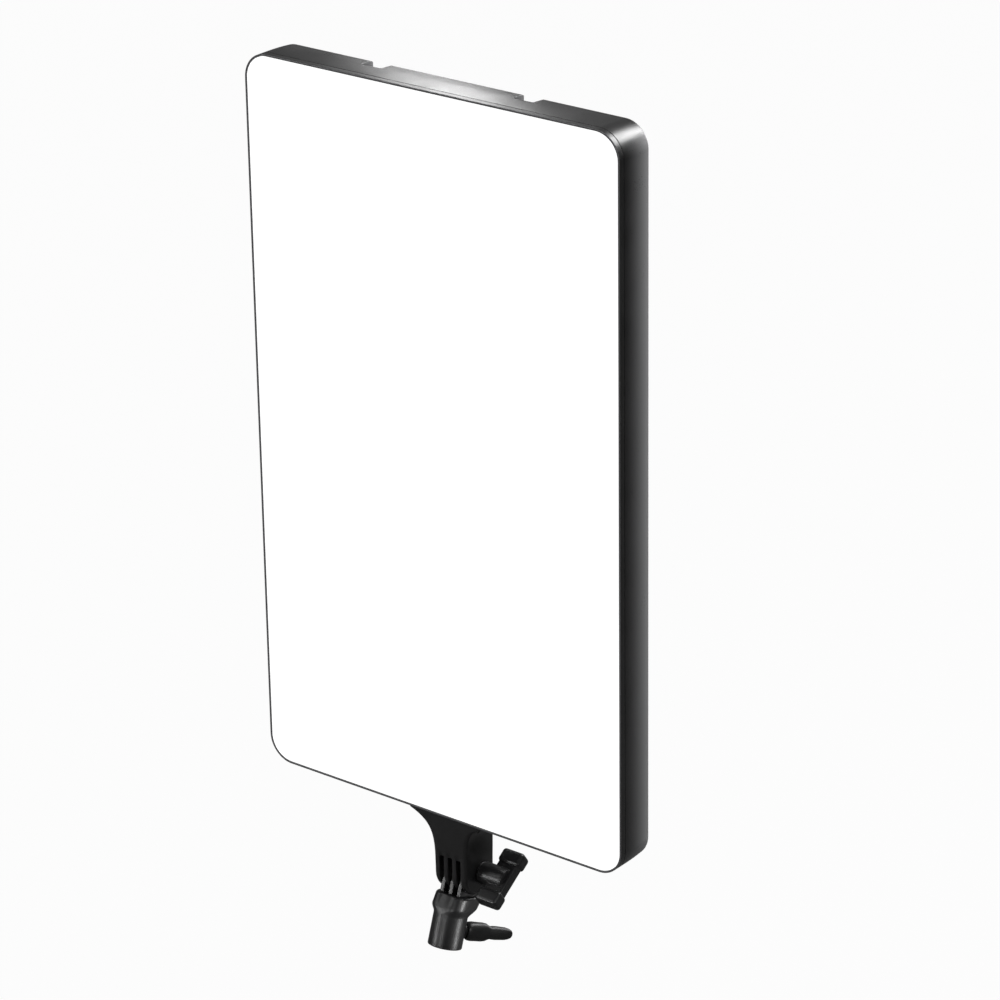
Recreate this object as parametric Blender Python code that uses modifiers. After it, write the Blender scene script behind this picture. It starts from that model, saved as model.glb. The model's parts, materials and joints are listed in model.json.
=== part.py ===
"""LED panel light on a tilting stand bracket.

Metres, +Z up, the lit face looks along -Y, X runs across the panel.
The origin is the centre of the seat, the floor of the stand socket's blind bore,
where the top of a 16 mm stand spigot bears.
"""
import math

import bmesh
import bpy
from mathutils import Matrix, Vector

MM = 0.001
GAP = 0.3 * MM                      # clearance between neighbouring pieces
PAST = 1 * MM                       # how far a cutter runs past the face that it opens

# Panel: outside size, corner and wall
PANEL_WIDTH = 296.3 * MM
PANEL_HEIGHT = 500 * MM
PANEL_DEPTH = 32.3 * MM
CORNER_RADIUS = 18.1 * MM
WALL = 2.2 * MM
REAR_EDGE_RADIUS = 2.5 * MM
INNER_BACK = PANEL_DEPTH - WALL     # depths are measured from the lit face

# Front frame and the opal sheet that it holds
RIM_WIDTH = 1.3 * MM                # black edge round the lit face
BEZEL_DEPTH = 4.5 * MM
HOUSING_FRONT = BEZEL_DEPTH + GAP
LEDGE_WIDTH = 11.3 * MM
LEDGE_THICKNESS = 1.2 * MM
DIFFUSER_THICKNESS = 2.4 * MM
TAPE_THICKNESS = 0.3 * MM
TAPE_WIDTH = 6 * MM
TAPE_SLACK = 0.05 * MM              # between the tape and the ledge

# Two upright channels in the rear cover
CHANNEL_X = 60 * MM
CHANNEL_WIDTH = 16 * MM
CHANNEL_DEPTH = 12 * MM

# Light engine
LED_PLATE_SIZE = (268 * MM, 472 * MM)
LED_PLATE_THICKNESS = 1.5 * MM
LED_STRIP_COUNT = 6
LED_STRIP_PITCH = 46 * MM
LED_STRIP_SIZE = (12 * MM, 448 * MM)
LED_BOARD_THICKNESS = 1 * MM
LED_COUNT = 12
LED_PITCH = 37 * MM
LED_SIZE = (5 * MM, 3 * MM, 0.8 * MM)
PLATE_FRONT = PANEL_DEPTH - CHANNEL_DEPTH - WALL - GAP - LED_PLATE_THICKNESS
PLATE_BACK = PLATE_FRONT + LED_PLATE_THICKNESS
PLATE_SCREW_X = CHANNEL_X - 3 * MM
PLATE_HEAD_RADIUS = 2.8 * MM
PLATE_HEAD_HEIGHT = 1.2 * MM
PLATE_SHANK_RADIUS = 1.4 * MM
PLATE_SHANK_LENGTH = 3.6 * MM
HARNESS_Z = -80 * MM
HARNESS_HOLE_RADIUS = 5 * MM
REFLECTOR_WALL = 1 * MM
REFLECTOR_SLOPE = 7 * MM
REFLECTOR_CORNER = 8 * MM

# Control area on the rear, centred across the panel
CONTROL_Z = -150 * MM
CONTROL_SIZE = (84 * MM, 110 * MM)
CONTROL_THICKNESS = 2 * MM
CONTROL_LEDGE = 4.3 * MM
CONTROL_CORNER = 3 * MM
PANEL_FACE = PANEL_DEPTH - 0.2 * MM             # outer face of the control panel
COVER_BACK = PANEL_FACE - CONTROL_THICKNESS     # its inner face
PAD_THICKNESS = 2.5 * MM            # extra housing wall round the control panel
PAD_MARGIN = 4 * MM
BOARD_SIZE = (70 * MM, 98 * MM)
BOARD_THICKNESS = 1.6 * MM
BOARD_FRONT = 19.4 * MM
BOARD_BACK = BOARD_FRONT + BOARD_THICKNESS
BOARD_POST_RADIUS = 3 * MM
ENCODER_SIZE = (12.5 * MM, 6 * MM, 13 * MM)
KNOB_X = 20 * MM
KNOB_Z = 2 * MM                     # above the centre of the control area
KNOB_RADIUS = 10.5 * MM
KNOB_HEIGHT = 11 * MM
KNOB_ABOVE_FACE = 1.2 * MM
SHAFT_BELOW_TOP = 2.5 * MM
FLUTE_COUNT = 12
FLUTE_RADIUS = 0.9 * MM
SHAFT_RADIUS = 3 * MM
BUSHING_RADIUS = 3.6 * MM
BUTTON_X = 7.5 * MM
BUTTON_Z = 22 * MM
BUTTON_RADIUS = 3.2 * MM
BUTTON_PROUD = 1.4 * MM
BUTTON_FLANGE = (4.2 * MM, 1.2 * MM)            # radius, thickness
SWITCH_X = -19 * MM
JACK_X = 20 * MM
PORT_Z = -35 * MM
JACK_RADIUS = 4.6 * MM
JACK_RIM = (6.2 * MM, 1.4 * MM)                 # radius, thickness
JACK_ROOM_RADIUS = 2.9 * MM
JACK_PIN_RADIUS = 1 * MM
WINDOW_SIZE = (40 * MM, 15 * MM)
WINDOW_THICKNESS = 1.6 * MM
WINDOW_Z = 41 * MM
MODULE_DEPTH = 5.5 * MM
SENSOR_X = 30 * MM
SENSOR_RADIUS = 2.5 * MM
SENSOR_PROUD = 0.6 * MM
SWITCH_OPENING = (19.4 * MM, 13.4 * MM)
SWITCH_FLANGE = (21.5 * MM, 15.5 * MM)
SWITCH_FLANGE_THICKNESS = 1.8 * MM
SWITCH_ROOM = (14.4 * MM, 10.4 * MM)
ROCKER_WIDTH = 13.6 * MM
ROCKER_HALF, ROCKER_LIP, ROCKER_TIP = 4.2 * MM, 2.4 * MM, 4 * MM
ROCKER_BACK_RADIUS = 3 * MM
ROCKER_TILT = math.radians(9)       # the rocker rests on its "on" side

# Screws that close the housing: places of one quarter, mirrored both ways
SIDE_SCREW = (139.5 * MM, 150 * MM)
END_SCREW = (100 * MM, 241.5 * MM)
HOUSING_SCREW_RADIUS = 1.5 * MM
HOUSING_HEAD_RADIUS = 2.8 * MM
HOUSING_HEAD_HEIGHT = 1.8 * MM
HEAD_RECESS = 3 * MM                # below the rear face
POST_RADIUS = 3.5 * MM
POST_END = BEZEL_DEPTH + 11 * MM
SCREW_TIP = BEZEL_DEPTH + 3 * MM
COVER_SCREW = (39.9 * MM, 52.9 * MM)
COVER_HEAD = (1.9 * MM, 1.5 * MM, 1 * MM)       # lower radius, upper radius, height
COVER_SHANK_RADIUS = 1 * MM
BOARD_POST = (31 * MM, 45 * MM)

# Cooling slots: two groups on each side
VENT_PITCH = 10 * MM
VENT_SIZE = (44 * MM, 3 * MM)
VENT_X = 103 * MM
VENT_GROUPS = (-165 * MM, 165 * MM)
VENT_ROWS = 6

# Board components and the harness
CAPACITOR = (4 * MM, 7.5 * MM)                  # radius, height
CAPACITOR_PLACE = (1 * MM, -16 * MM)
CHOKE = (5.5 * MM, 2.2 * MM, 6 * MM)            # radius, hole radius, height
CHOKE_PLACE = (20 * MM, -16 * MM)
CONNECTOR_SIZE = (12 * MM, 6 * MM, 6 * MM)
CONNECTOR_PLACE = (-27 * MM, 24 * MM)
WIRE_RADIUS = 0.8 * MM
WIRE_SPACING = 3.2 * MM

# Tilting bracket
SOCKET_LEAN = math.radians(19.2)    # the socket's foot leans towards the lit side
PIVOT_BEHIND_FACE = 25.8 * MM
PIVOT_BELOW_CENTRE = 298.3 * MM
SEAT_TO_PIVOT = 25 * MM             # along the socket
PIVOT_SETBACK = 7 * MM              # behind the socket's axis
BORE_DEPTH = 30 * MM
BORE_RADIUS = 8.15 * MM             # slides over a 16 mm spigot
TUBE_RADIUS = 11.7 * MM
LEAF_RADIUS = 12.6 * MM
LEAF_PITCH = 3.53 * MM              # four neck leaves take turns with three socket leaves
LEAF_THICKNESS = LEAF_PITCH - GAP
LEAF_CLEARANCE = 0.6 * MM
HINGE_HALF_WIDTH = 13.2 * MM
NECK_HALF_DEPTH = 15.6 * MM
NECK_SETBACK = -2.1 * MM              # of its middle, behind the pivot
SLOT_BELOW_PIVOT = 18.3 * MM
NECK_CORNER = 2.5 * MM
NECK_FOOT = LEAF_RADIUS + LEAF_CLEARANCE                    # above the pivot
NECK_TOP = PIVOT_BELOW_CENTRE - PANEL_HEIGHT / 2 - GAP
NECK_FLARE_LENGTH = 7.5 * MM
BLOCK_LOW = -5.5 * MM               # above the seat
BLOCK_TOP = SEAT_TO_PIVOT - SLOT_BELOW_PIVOT
BLOCK_CORNER = 3.5 * MM
BLOCK_HALF_WIDTH = 12.9 * MM
FLANGE_HALF_WIDTH = 31 * MM
FLANGE_THICKNESS = 3.2 * MM
FLANGE_DEPTH = 27 * MM
FLANGE_Y = 17 * MM                  # centre of the flange behind the lit face
NECK_SCREW_X = 22 * MM
NECK_SCREW_RADIUS = 2 * MM
NECK_HOLE_RADIUS = 2.4 * MM
NECK_HEAD = (3.9 * MM, 2.6 * MM)                # radius, height
NECK_COUNTERBORE_RADIUS = 4.6 * MM
NECK_PLATE_SIZE = (66 * MM, 20 * MM, 3 * MM)
BOLT_RADIUS = 3 * MM
BOLT_HEAD_FLATS = 10 * MM
BOLT_HEAD_HEIGHT = 2 * MM
BOLT_HEAD_POCKET = 1.6 * MM
BOLT_LENGTH = 40 * MM

# Tilt knob: a bar with two lobes on a round hub
WASHER_RADIUS = 7.5 * MM
WASHER_THICKNESS = 1.2 * MM
KNOB_START = HINGE_HALF_WIDTH + GAP + WASHER_THICKNESS + GAP
NUT_RADIUS = 4.4 * MM
NUT_LENGTH = 8.1 * MM
HUB_RADIUS = 8 * MM
BAR_START = 21.5 * MM
BAR_DEPTH = 17.5 * MM
BAR_END = BAR_START + BAR_DEPTH
HUB_END = BAR_END - 4 * MM
LOBE_SPACING = 15.6 * MM
LOBE_SIZE = (10.2 * MM, 10.6 * MM)
WEB_THICKNESS = 8 * MM
BAR_RISE = math.radians(35)          # above the horizontal, towards the rear

# Lock screw: a thumb screw through the socket's wall
LOCK_DROP = 18.5 * MM                 # below the seat
LOCK_SWING = math.radians(62)       # from +X towards the rear
LOCK_STUD_RADIUS = 2.9 * MM
LOCK_INSERT_RADIUS = 4.6 * MM
LOCK_PAD_RADIUS = 2.6 * MM
LOCK_KNOB_START = TUBE_RADIUS + 1.3 * MM
LOCK_ROOM_LENGTH = 10 * MM
LOCK_TIP = 48.8 * MM                  # knob's end, from the socket's axis

SMOOTH_ANGLE = math.radians(35)
ROUND = 24
SMALL_ROUND = 10

COLOURS = {
    "black_plastic": ((0.012, 0.012, 0.013), 0.42, 0.0),
    "bezel_black": ((0.015, 0.015, 0.016), 0.35, 0.0),
    "opal": ((0.95, 0.95, 0.94), 0.35, 0.0),
    "white_film": ((0.9, 0.9, 0.88), 0.6, 0.0),
    "foam_tape": ((0.03, 0.03, 0.03), 0.9, 0.0),
    "aluminium": ((0.75, 0.76, 0.77), 0.35, 1.0),
    "led_board": ((0.85, 0.85, 0.82), 0.5, 0.0),
    "green_board": ((0.02, 0.16, 0.07), 0.45, 0.0),
    "steel": ((0.55, 0.55, 0.56), 0.3, 1.0),
    "black_steel": ((0.03, 0.03, 0.032), 0.4, 1.0),
    "brass": ((0.72, 0.53, 0.22), 0.3, 1.0),
    "rubber": ((0.02, 0.02, 0.02), 0.8, 0.0),
    "smoked_window": ((0.02, 0.005, 0.006), 0.08, 0.0),
    "capacitor_sleeve": ((0.02, 0.02, 0.05), 0.4, 0.0),
    "copper": ((0.6, 0.25, 0.1), 0.4, 1.0),
    "connector_white": ((0.85, 0.84, 0.78), 0.5, 0.0),
    "red_wire": ((0.5, 0.02, 0.02), 0.5, 0.0),
    "black_wire": ((0.02, 0.02, 0.02), 0.5, 0.0),
}


def clear_scene():
    for scene_object in list(bpy.data.objects):
        bpy.data.objects.remove(scene_object, do_unlink=True)


def new_collection(name):
    collection = bpy.data.collections.new(name)
    bpy.context.scene.collection.children.link(collection)
    return collection


clear_scene()
PARTS = new_collection("led_panel_light")
CUTTERS = new_collection("cutters")


def material(name):
    """The named finish, made once."""
    existing = bpy.data.materials.get(name)
    if existing:
        return existing
    colour, roughness, metallic = COLOURS[name]
    finish = bpy.data.materials.new(name)
    finish.use_nodes = True
    shader = finish.node_tree.nodes["Principled BSDF"]
    shader.inputs["Base Color"].default_value = (*colour, 1)
    shader.inputs["Roughness"].default_value = roughness
    shader.inputs["Metallic"].default_value = metallic
    finish.diffuse_color = (*colour, 1)
    return finish


# ---------------------------------------------------------------- frames

def new_empty(name, location=(0, 0, 0), rotation=(0, 0, 0), parent=None):
    empty = bpy.data.objects.new(name, None)
    empty.location = location
    empty.rotation_euler = rotation
    empty.parent = parent
    PARTS.objects.link(empty)
    return empty


# The socket's frame: +Z up the bore, -Y towards the lit side
socket_frame = new_empty("socket_frame", rotation=(-SOCKET_LEAN, 0, 0))
PIVOT_IN_SOCKET = Vector((0, PIVOT_SETBACK, SEAT_TO_PIVOT))
PIVOT = Matrix.Rotation(-SOCKET_LEAN, 3, "X") @ PIVOT_IN_SOCKET

# The tilt axis, and the panel's frame: the centre of the lit face, upright at rest
tilt_axis = new_empty("tilt_axis", location=PIVOT)
panel_frame = new_empty("panel_frame", (0, -PIVOT_BEHIND_FACE, PIVOT_BELOW_CENTRE), parent=tilt_axis)

# The lock screw's frame: +Z outwards along the screw, from the socket's axis
lock_turn = Matrix.Rotation(LOCK_SWING, 4, "Z") @ Matrix.Rotation(math.radians(90), 4, "Y")
lock_frame = new_empty("lock_frame", (0, 0, -LOCK_DROP), lock_turn.to_euler(), socket_frame)

# The knob's frame: +Z outwards along the hinge bolt, -X along the knob's bar towards the rear
knob_turn = Matrix.Rotation(BAR_RISE - math.radians(90), 4, "X") @ Matrix.Rotation(math.radians(90), 4, "Y")
knob_frame = new_empty("knob_frame", (0, 0, 0), knob_turn.to_euler(), tilt_axis)


# ---------------------------------------------------------------- shapes

def finish_object(name, mesh, parent, location, rotation, colour, cutter):
    item = bpy.data.objects.new(name, mesh)
    item.parent = parent
    item.location = location
    item.rotation_euler = rotation
    if cutter:
        item.hide_render = True
        item.display_type = "WIRE"
        CUTTERS.objects.link(item)
        return item
    PARTS.objects.link(item)
    mesh.shade_smooth()
    mesh.set_sharp_from_angle(angle=SMOOTH_ANGLE)
    mesh.materials.append(material(colour))
    return item


def box(name, size, centre, parent=None, colour=None, rotation=(0, 0, 0), cutter=False):
    """A box of full size (x, y, z) about its centre."""
    shape = bmesh.new()
    bmesh.ops.create_cube(shape, size=1)
    bmesh.ops.scale(shape, vec=size, verts=shape.verts)
    mesh = bpy.data.meshes.new(name)
    shape.to_mesh(mesh)
    shape.free()
    return finish_object(name, mesh, parent, centre, rotation, colour, cutter)


def rod(name, radius, start, end, parent=None, colour=None, centre=(0, 0), facing="Z", sides=ROUND,
        cutter=False, top_radius=None):
    """A cylinder or cone along one axis of its parent's frame, from start to end on that axis."""
    length = end - start
    shape = bmesh.new()
    bmesh.ops.create_cone(shape, cap_ends=True, segments=sides, radius1=radius,
                          radius2=radius if top_radius is None else top_radius, depth=length)
    mesh = bpy.data.meshes.new(name)
    shape.to_mesh(mesh)
    shape.free()
    middle = (start + end) / 2
    first, second = centre
    place = {"X": (middle, first, second), "Y": (first, middle, second),
             "Z": (first, second, middle)}[facing]
    rotation = {"X": (0, math.radians(90), 0), "Y": (math.radians(-90), 0, 0), "Z": (0, 0, 0)}[facing]
    return finish_object(name, mesh, parent, place, rotation, colour, cutter)


def arc(centre, radius, start, end, steps):
    """Points along an arc, angles in degrees."""
    angles = [math.radians(start + (end - start) * step / steps) for step in range(steps + 1)]
    return [(centre[0] + radius * math.cos(a), centre[1] + radius * math.sin(a)) for a in angles]


def rounded_rectangle(width, height, radius, steps=8):
    """Outline points of a rectangle with rounded corners, centred, counter-clockwise."""
    across = width / 2 - radius
    up = height / 2 - radius
    points = []
    for quarter, (side_x, side_y) in enumerate(((1, 1), (-1, 1), (-1, -1), (1, -1))):
        points += arc((side_x * across, side_y * up), radius, quarter * 90, quarter * 90 + 90, steps)
    return points


def plate(name, outlines, thickness, centre, parent=None, colour=None, facing="Y", cutter=False):
    """A flat plate from closed outlines, the later ones being holes.

    Facing Y, an outline's points are (x, z); facing X they are (y, z); facing Z they are (x, y).
    """
    curve = bpy.data.curves.new(name, "CURVE")
    curve.dimensions = "2D"
    curve.fill_mode = "BOTH"
    curve.extrude = thickness / 2
    for outline in outlines:
        spline = curve.splines.new("POLY")
        spline.points.add(len(outline) - 1)
        for point, (first, second) in zip(spline.points, outline):
            point.co = (first, second, 0, 1)
        spline.use_cyclic_u = True
    mesh = mesh_from_curve(name, curve)
    merge_flat_faces(mesh)
    quarter = math.radians(90)
    rotation = {"X": (quarter, 0, quarter), "Y": (quarter, 0, 0), "Z": (0, 0, 0)}[facing]
    return finish_object(name, mesh, parent, centre, rotation, colour, cutter)


def mesh_from_curve(name, curve):
    """The curve as a closed mesh, its caps welded."""
    holder = bpy.data.objects.new(name + "_outline", curve)
    bpy.context.scene.collection.objects.link(holder)
    bpy.context.view_layer.update()
    evaluated = holder.evaluated_get(bpy.context.evaluated_depsgraph_get())
    mesh = bpy.data.meshes.new_from_object(evaluated)
    mesh.name = name
    shape = bmesh.new()
    shape.from_mesh(mesh)
    bmesh.ops.remove_doubles(shape, verts=shape.verts, dist=1e-6)
    shape.to_mesh(mesh)
    shape.free()
    bpy.data.objects.remove(holder, do_unlink=True)
    return mesh


def merge_flat_faces(mesh):
    """Join a filled outline's triangles into whole faces."""
    shape = bmesh.new()
    shape.from_mesh(mesh)
    bmesh.ops.dissolve_limit(shape, angle_limit=math.radians(0.5), verts=shape.verts, edges=shape.edges)
    shape.to_mesh(mesh)
    shape.free()


def wire(name, points, radius, parent, colour):
    """A round wire through the points."""
    curve = bpy.data.curves.new(name, "CURVE")
    curve.dimensions = "3D"
    curve.bevel_depth = radius
    curve.bevel_resolution = 2
    curve.use_fill_caps = True
    spline = curve.splines.new("POLY")
    spline.points.add(len(points) - 1)
    for point, place in zip(spline.points, points):
        point.co = (*place, 1)
    mesh = mesh_from_curve(name, curve)
    return finish_object(name, mesh, parent, (0, 0, 0), (0, 0, 0), colour, False)


def loft(name, rings, parent, colour, cutter=False):
    """A closed solid through rings with equal numbers of points, lowest ring first."""
    shape = bmesh.new()
    loops = [[shape.verts.new(point) for point in ring] for ring in rings]
    count = len(rings[0])
    for lower, upper in zip(loops, loops[1:]):
        for index in range(count):
            following = (index + 1) % count
            shape.faces.new((lower[index], lower[following], upper[following], upper[index]))
    shape.faces.new(reversed(loops[0]))
    shape.faces.new(loops[-1])
    mesh = bpy.data.meshes.new(name)
    shape.to_mesh(mesh)
    shape.free()
    return finish_object(name, mesh, parent, (0, 0, 0), (0, 0, 0), colour, cutter)


def combine(target, other, operation):
    modifier = target.modifiers.new(operation.lower() + "_" + other.name, "BOOLEAN")
    modifier.operation = operation
    modifier.object = other
    return target


def cut(target, *cutters):
    for cutter in cutters:
        combine(target, cutter, "DIFFERENCE")
    return target


def join(target, *additions):
    for addition in additions:
        combine(target, addition, "UNION")
    return target


def bevel(item, width, segments=2, angle=40):
    modifier = item.modifiers.new("rounded_edges", "BEVEL")
    modifier.width = width
    modifier.segments = segments
    modifier.limit_method = "ANGLE"
    modifier.angle_limit = math.radians(angle)
    modifier.harden_normals = False
    return item


def four_ways(place):
    """The place mirrored into all four quarters."""
    return [(side_x * place[0], side_z * place[1]) for side_x in (-1, 1) for side_z in (-1, 1)]


HOUSING_SCREWS = four_ways(SIDE_SCREW) + four_ways(END_SCREW)
PLATE_SCREWS = [(side * PLATE_SCREW_X, 0) for side in (-1, 1)]


# ---------------------------------------------------------------- front

def make_diffuser():
    width = PANEL_WIDTH - 2 * RIM_WIDTH - 2 * GAP
    height = PANEL_HEIGHT - 2 * RIM_WIDTH - 2 * GAP
    outline = rounded_rectangle(width, height, CORNER_RADIUS - RIM_WIDTH - GAP)
    plate("diffuser_panel", [outline], DIFFUSER_THICKNESS, (0, GAP + DIFFUSER_THICKNESS / 2, 0),
          panel_frame, "opal")


def ring_outlines(width, height, radius, ring_width):
    inner_radius = max(radius - ring_width, 2 * MM)
    return [rounded_rectangle(width, height, radius),
            rounded_rectangle(width - 2 * ring_width, height - 2 * ring_width, inner_radius)]


def make_diffuser_tape():
    """Foam tape that bonds the opal sheet to the frame's ledge."""
    inset = RIM_WIDTH + GAP
    outlines = ring_outlines(PANEL_WIDTH - 2 * inset, PANEL_HEIGHT - 2 * inset, CORNER_RADIUS - inset,
                             TAPE_WIDTH)
    front = BEZEL_DEPTH - LEDGE_THICKNESS - TAPE_THICKNESS
    plate("diffuser_tape", outlines, TAPE_THICKNESS - TAPE_SLACK, (0, front, 0), panel_frame, "foam_tape")


def make_bezel():
    """Frame with a thin rim in front, a ledge behind the opal sheet and posts for the screws."""
    rim = ring_outlines(PANEL_WIDTH, PANEL_HEIGHT, CORNER_RADIUS, RIM_WIDTH)
    bezel = plate("front_bezel", rim, BEZEL_DEPTH, (0, BEZEL_DEPTH / 2, 0), panel_frame, "bezel_black")
    overlap = RIM_WIDTH / 2
    ledge = plate("bezel_ledge", ring_outlines(PANEL_WIDTH - 2 * overlap, PANEL_HEIGHT - 2 * overlap,
                                               CORNER_RADIUS - overlap, LEDGE_WIDTH),
                  LEDGE_THICKNESS, (0, BEZEL_DEPTH - LEDGE_THICKNESS / 2, 0), panel_frame, cutter=True)
    join(bezel, ledge)
    for index, place in enumerate(HOUSING_SCREWS):
        post = rod(f"bezel_post_{index}", POST_RADIUS, BEZEL_DEPTH - LEDGE_THICKNESS / 2, POST_END,
                   panel_frame, centre=place, facing="Y", sides=SMALL_ROUND, cutter=True)
        join(bezel, post)
    for index, place in enumerate(HOUSING_SCREWS):
        pilot = rod(f"bezel_pilot_{index}", HOUSING_SCREW_RADIUS + GAP / 2, BEZEL_DEPTH + 1 * MM,
                    POST_END + PAST, panel_frame, centre=place, facing="Y", sides=SMALL_ROUND, cutter=True)
        cut(bezel, pilot)


# ---------------------------------------------------------------- light engine

def make_led_plate():
    """Aluminium plate that carries the light strips and spreads their heat."""
    outline = rounded_rectangle(*LED_PLATE_SIZE, 6 * MM, 4)
    led_plate = plate("led_plate", [outline], LED_PLATE_THICKNESS,
                      (0, PLATE_FRONT + LED_PLATE_THICKNESS / 2, 0), panel_frame, "aluminium")
    for index, place in enumerate(PLATE_SCREWS):
        cut(led_plate, rod(f"led_plate_hole_{index}", PLATE_SHANK_RADIUS + 0.4 * MM, PLATE_FRONT - PAST,
                           PLATE_BACK + PAST,
                           panel_frame, centre=place, facing="Y", sides=SMALL_ROUND, cutter=True))
    cut(led_plate, rod("harness_hole", HARNESS_HOLE_RADIUS, PLATE_FRONT - PAST, PLATE_BACK + PAST,
                       panel_frame,
                       centre=(0, HARNESS_Z), facing="Y", sides=SMALL_ROUND, cutter=True))


def make_led_strips():
    """Upright strips: an aluminium-core board with a row of light packages."""
    board_back = PLATE_FRONT - GAP
    for number in range(LED_STRIP_COUNT):
        across = (number - (LED_STRIP_COUNT - 1) / 2) * LED_STRIP_PITCH
        name = f"led_strip_{number + 1}"
        strip = box(name, (LED_STRIP_SIZE[0], LED_BOARD_THICKNESS, LED_STRIP_SIZE[1]),
                    (across, board_back - LED_BOARD_THICKNESS / 2, 0), panel_frame, "led_board")
        package = box(name + "_packages", (LED_SIZE[0], LED_SIZE[2] + 0.4 * MM, LED_SIZE[1]),
                      (across, board_back - LED_BOARD_THICKNESS - LED_SIZE[2] / 2 + 0.2 * MM,
                       -(LED_COUNT - 1) / 2 * LED_PITCH), panel_frame, cutter=True)
        row = package.modifiers.new("row", "ARRAY")
        row.count = LED_COUNT
        row.use_relative_offset = False
        row.use_constant_offset = True
        row.constant_offset_displace = (0, 0, LED_PITCH)
        join(strip, package)


def make_reflector():
    """White wall that slopes in from the frame's opening to the light plate."""
    front = BEZEL_DEPTH + GAP
    back = PLATE_FRONT - GAP
    wide = (LED_PLATE_SIZE[0] + 1 * MM, LED_PLATE_SIZE[1] + 1 * MM)
    narrow = (wide[0] - 2 * REFLECTOR_SLOPE, wide[1] - 2 * REFLECTOR_SLOPE)

    def ring(size, depth, inset):
        outline = rounded_rectangle(size[0] - 2 * inset, size[1] - 2 * inset, REFLECTOR_CORNER - inset, 4)
        return [(x, depth, z) for x, z in outline]

    wall = loft("reflector_frame", [ring(narrow, back, 0), ring(wide, front, 0)], panel_frame, "white_film")
    slope = REFLECTOR_SLOPE * PAST / (back - front)
    beyond_narrow = (narrow[0] - 2 * slope, narrow[1] - 2 * slope)
    beyond_wide = (wide[0] + 2 * slope, wide[1] + 2 * slope)
    hollow = loft("reflector_hollow", [ring(beyond_narrow, back + PAST, REFLECTOR_WALL),
                                       ring(beyond_wide, front - PAST, REFLECTOR_WALL)],
                  panel_frame, None, cutter=True)
    cut(wall, hollow)


def make_plate_screws():
    """Short screws that hold the light plate to the rear cover's channels."""
    for index, place in enumerate(PLATE_SCREWS):
        head_back = PLATE_FRONT - GAP
        screw = rod(f"plate_screw_{index + 1}", PLATE_HEAD_RADIUS, head_back - PLATE_HEAD_HEIGHT, head_back,
                    panel_frame, "steel", centre=place, facing="Y", sides=SMALL_ROUND,
                    top_radius=PLATE_HEAD_RADIUS + 0.1 * MM)
        shank = rod(f"plate_shank_{index + 1}", PLATE_SHANK_RADIUS, head_back - PLATE_HEAD_HEIGHT / 2,
                    head_back + PLATE_SHANK_LENGTH,
                    panel_frame, centre=place, facing="Y", sides=SMALL_ROUND, cutter=True)
        join(screw, shank)


# ---------------------------------------------------------------- rear cover

def channel_cutters(name, margin, back):
    """A block for each channel, wider by the margin on every side that faces the room."""
    depth_from = PANEL_DEPTH - CHANNEL_DEPTH - margin
    blocks = []
    size = (CHANNEL_WIDTH + 2 * margin, back - depth_from, PANEL_HEIGHT * 1.1)
    for side in (-1, 1):
        blocks.append(box(f"{name}_{side + 1}", size, (side * CHANNEL_X, (back + depth_from) / 2, 0),
                          panel_frame, cutter=True))
    return blocks


def make_rear_housing():
    depth = PANEL_DEPTH - HOUSING_FRONT
    outer = rounded_rectangle(PANEL_WIDTH, PANEL_HEIGHT, CORNER_RADIUS, 10)
    housing = plate("rear_housing", [outer], depth, (0, HOUSING_FRONT + depth / 2, 0), panel_frame,
                    "black_plastic")
    round_rear_edge(housing)
    cut(housing, *channel_cutters("channel", 0, PANEL_DEPTH + 5 * MM))

    inner = rounded_rectangle(PANEL_WIDTH - 2 * WALL, PANEL_HEIGHT - 2 * WALL, CORNER_RADIUS - WALL, 10)
    room_depth = INNER_BACK - HOUSING_FRONT + PAST
    room = plate("housing_room", [inner], room_depth, (0, INNER_BACK - room_depth / 2, 0), panel_frame,
                 cutter=True)
    cut(room, *channel_cutters("channel_wall", WALL, INNER_BACK + 5 * MM))
    pad_size = (CONTROL_SIZE[0] + 2 * PAD_MARGIN, PAD_THICKNESS + PAST, CONTROL_SIZE[1] + 2 * PAD_MARGIN)
    pad = box("control_pad", pad_size, (0, INNER_BACK - PAD_THICKNESS / 2 + PAST / 2, CONTROL_Z),
              panel_frame,
              cutter=True)
    cut(room, pad)
    for index, place in enumerate(HOUSING_SCREWS):
        cut(room, rod(f"housing_boss_{index}", POST_RADIUS + 0.5 * MM, POST_END + GAP, INNER_BACK + PAST,
                      panel_frame, centre=place, facing="Y", sides=SMALL_ROUND, cutter=True))
    cut(housing, room)

    recess_floor = COVER_BACK - GAP
    recess_size = (CONTROL_SIZE[0] + 2 * GAP, 5 * MM, CONTROL_SIZE[1] + 2 * GAP)
    cut(housing, box("control_recess", recess_size, (0, recess_floor + recess_size[1] / 2, CONTROL_Z),
                     panel_frame, cutter=True))
    opening_size = (CONTROL_SIZE[0] - 2 * CONTROL_LEDGE, 12 * MM, CONTROL_SIZE[1] - 2 * CONTROL_LEDGE)
    cut(housing, box("control_opening", opening_size, (0, PANEL_DEPTH - opening_size[1] / 3, CONTROL_Z),
                     panel_frame, cutter=True))
    cut(housing, *housing_screw_holes())
    cut(housing, *vent_cutters())
    cut(housing, *neck_screw_holes())


def round_rear_edge(housing):
    """Bevel only the outline's edge at the rear."""
    mesh = housing.data
    weight = mesh.attributes.new("bevel_weight_edge", "FLOAT", "EDGE")
    rear = min(vertex.co.z for vertex in mesh.vertices)
    for edge in mesh.edges:
        on_rear = all(abs(mesh.vertices[v].co.z - rear) < 1e-6 for v in edge.vertices)
        weight.data[edge.index].value = 1.0 if on_rear else 0.0
    modifier = housing.modifiers.new("rounded_rear", "BEVEL")
    modifier.width = REAR_EDGE_RADIUS
    modifier.segments = 3
    modifier.limit_method = "WEIGHT"


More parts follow.
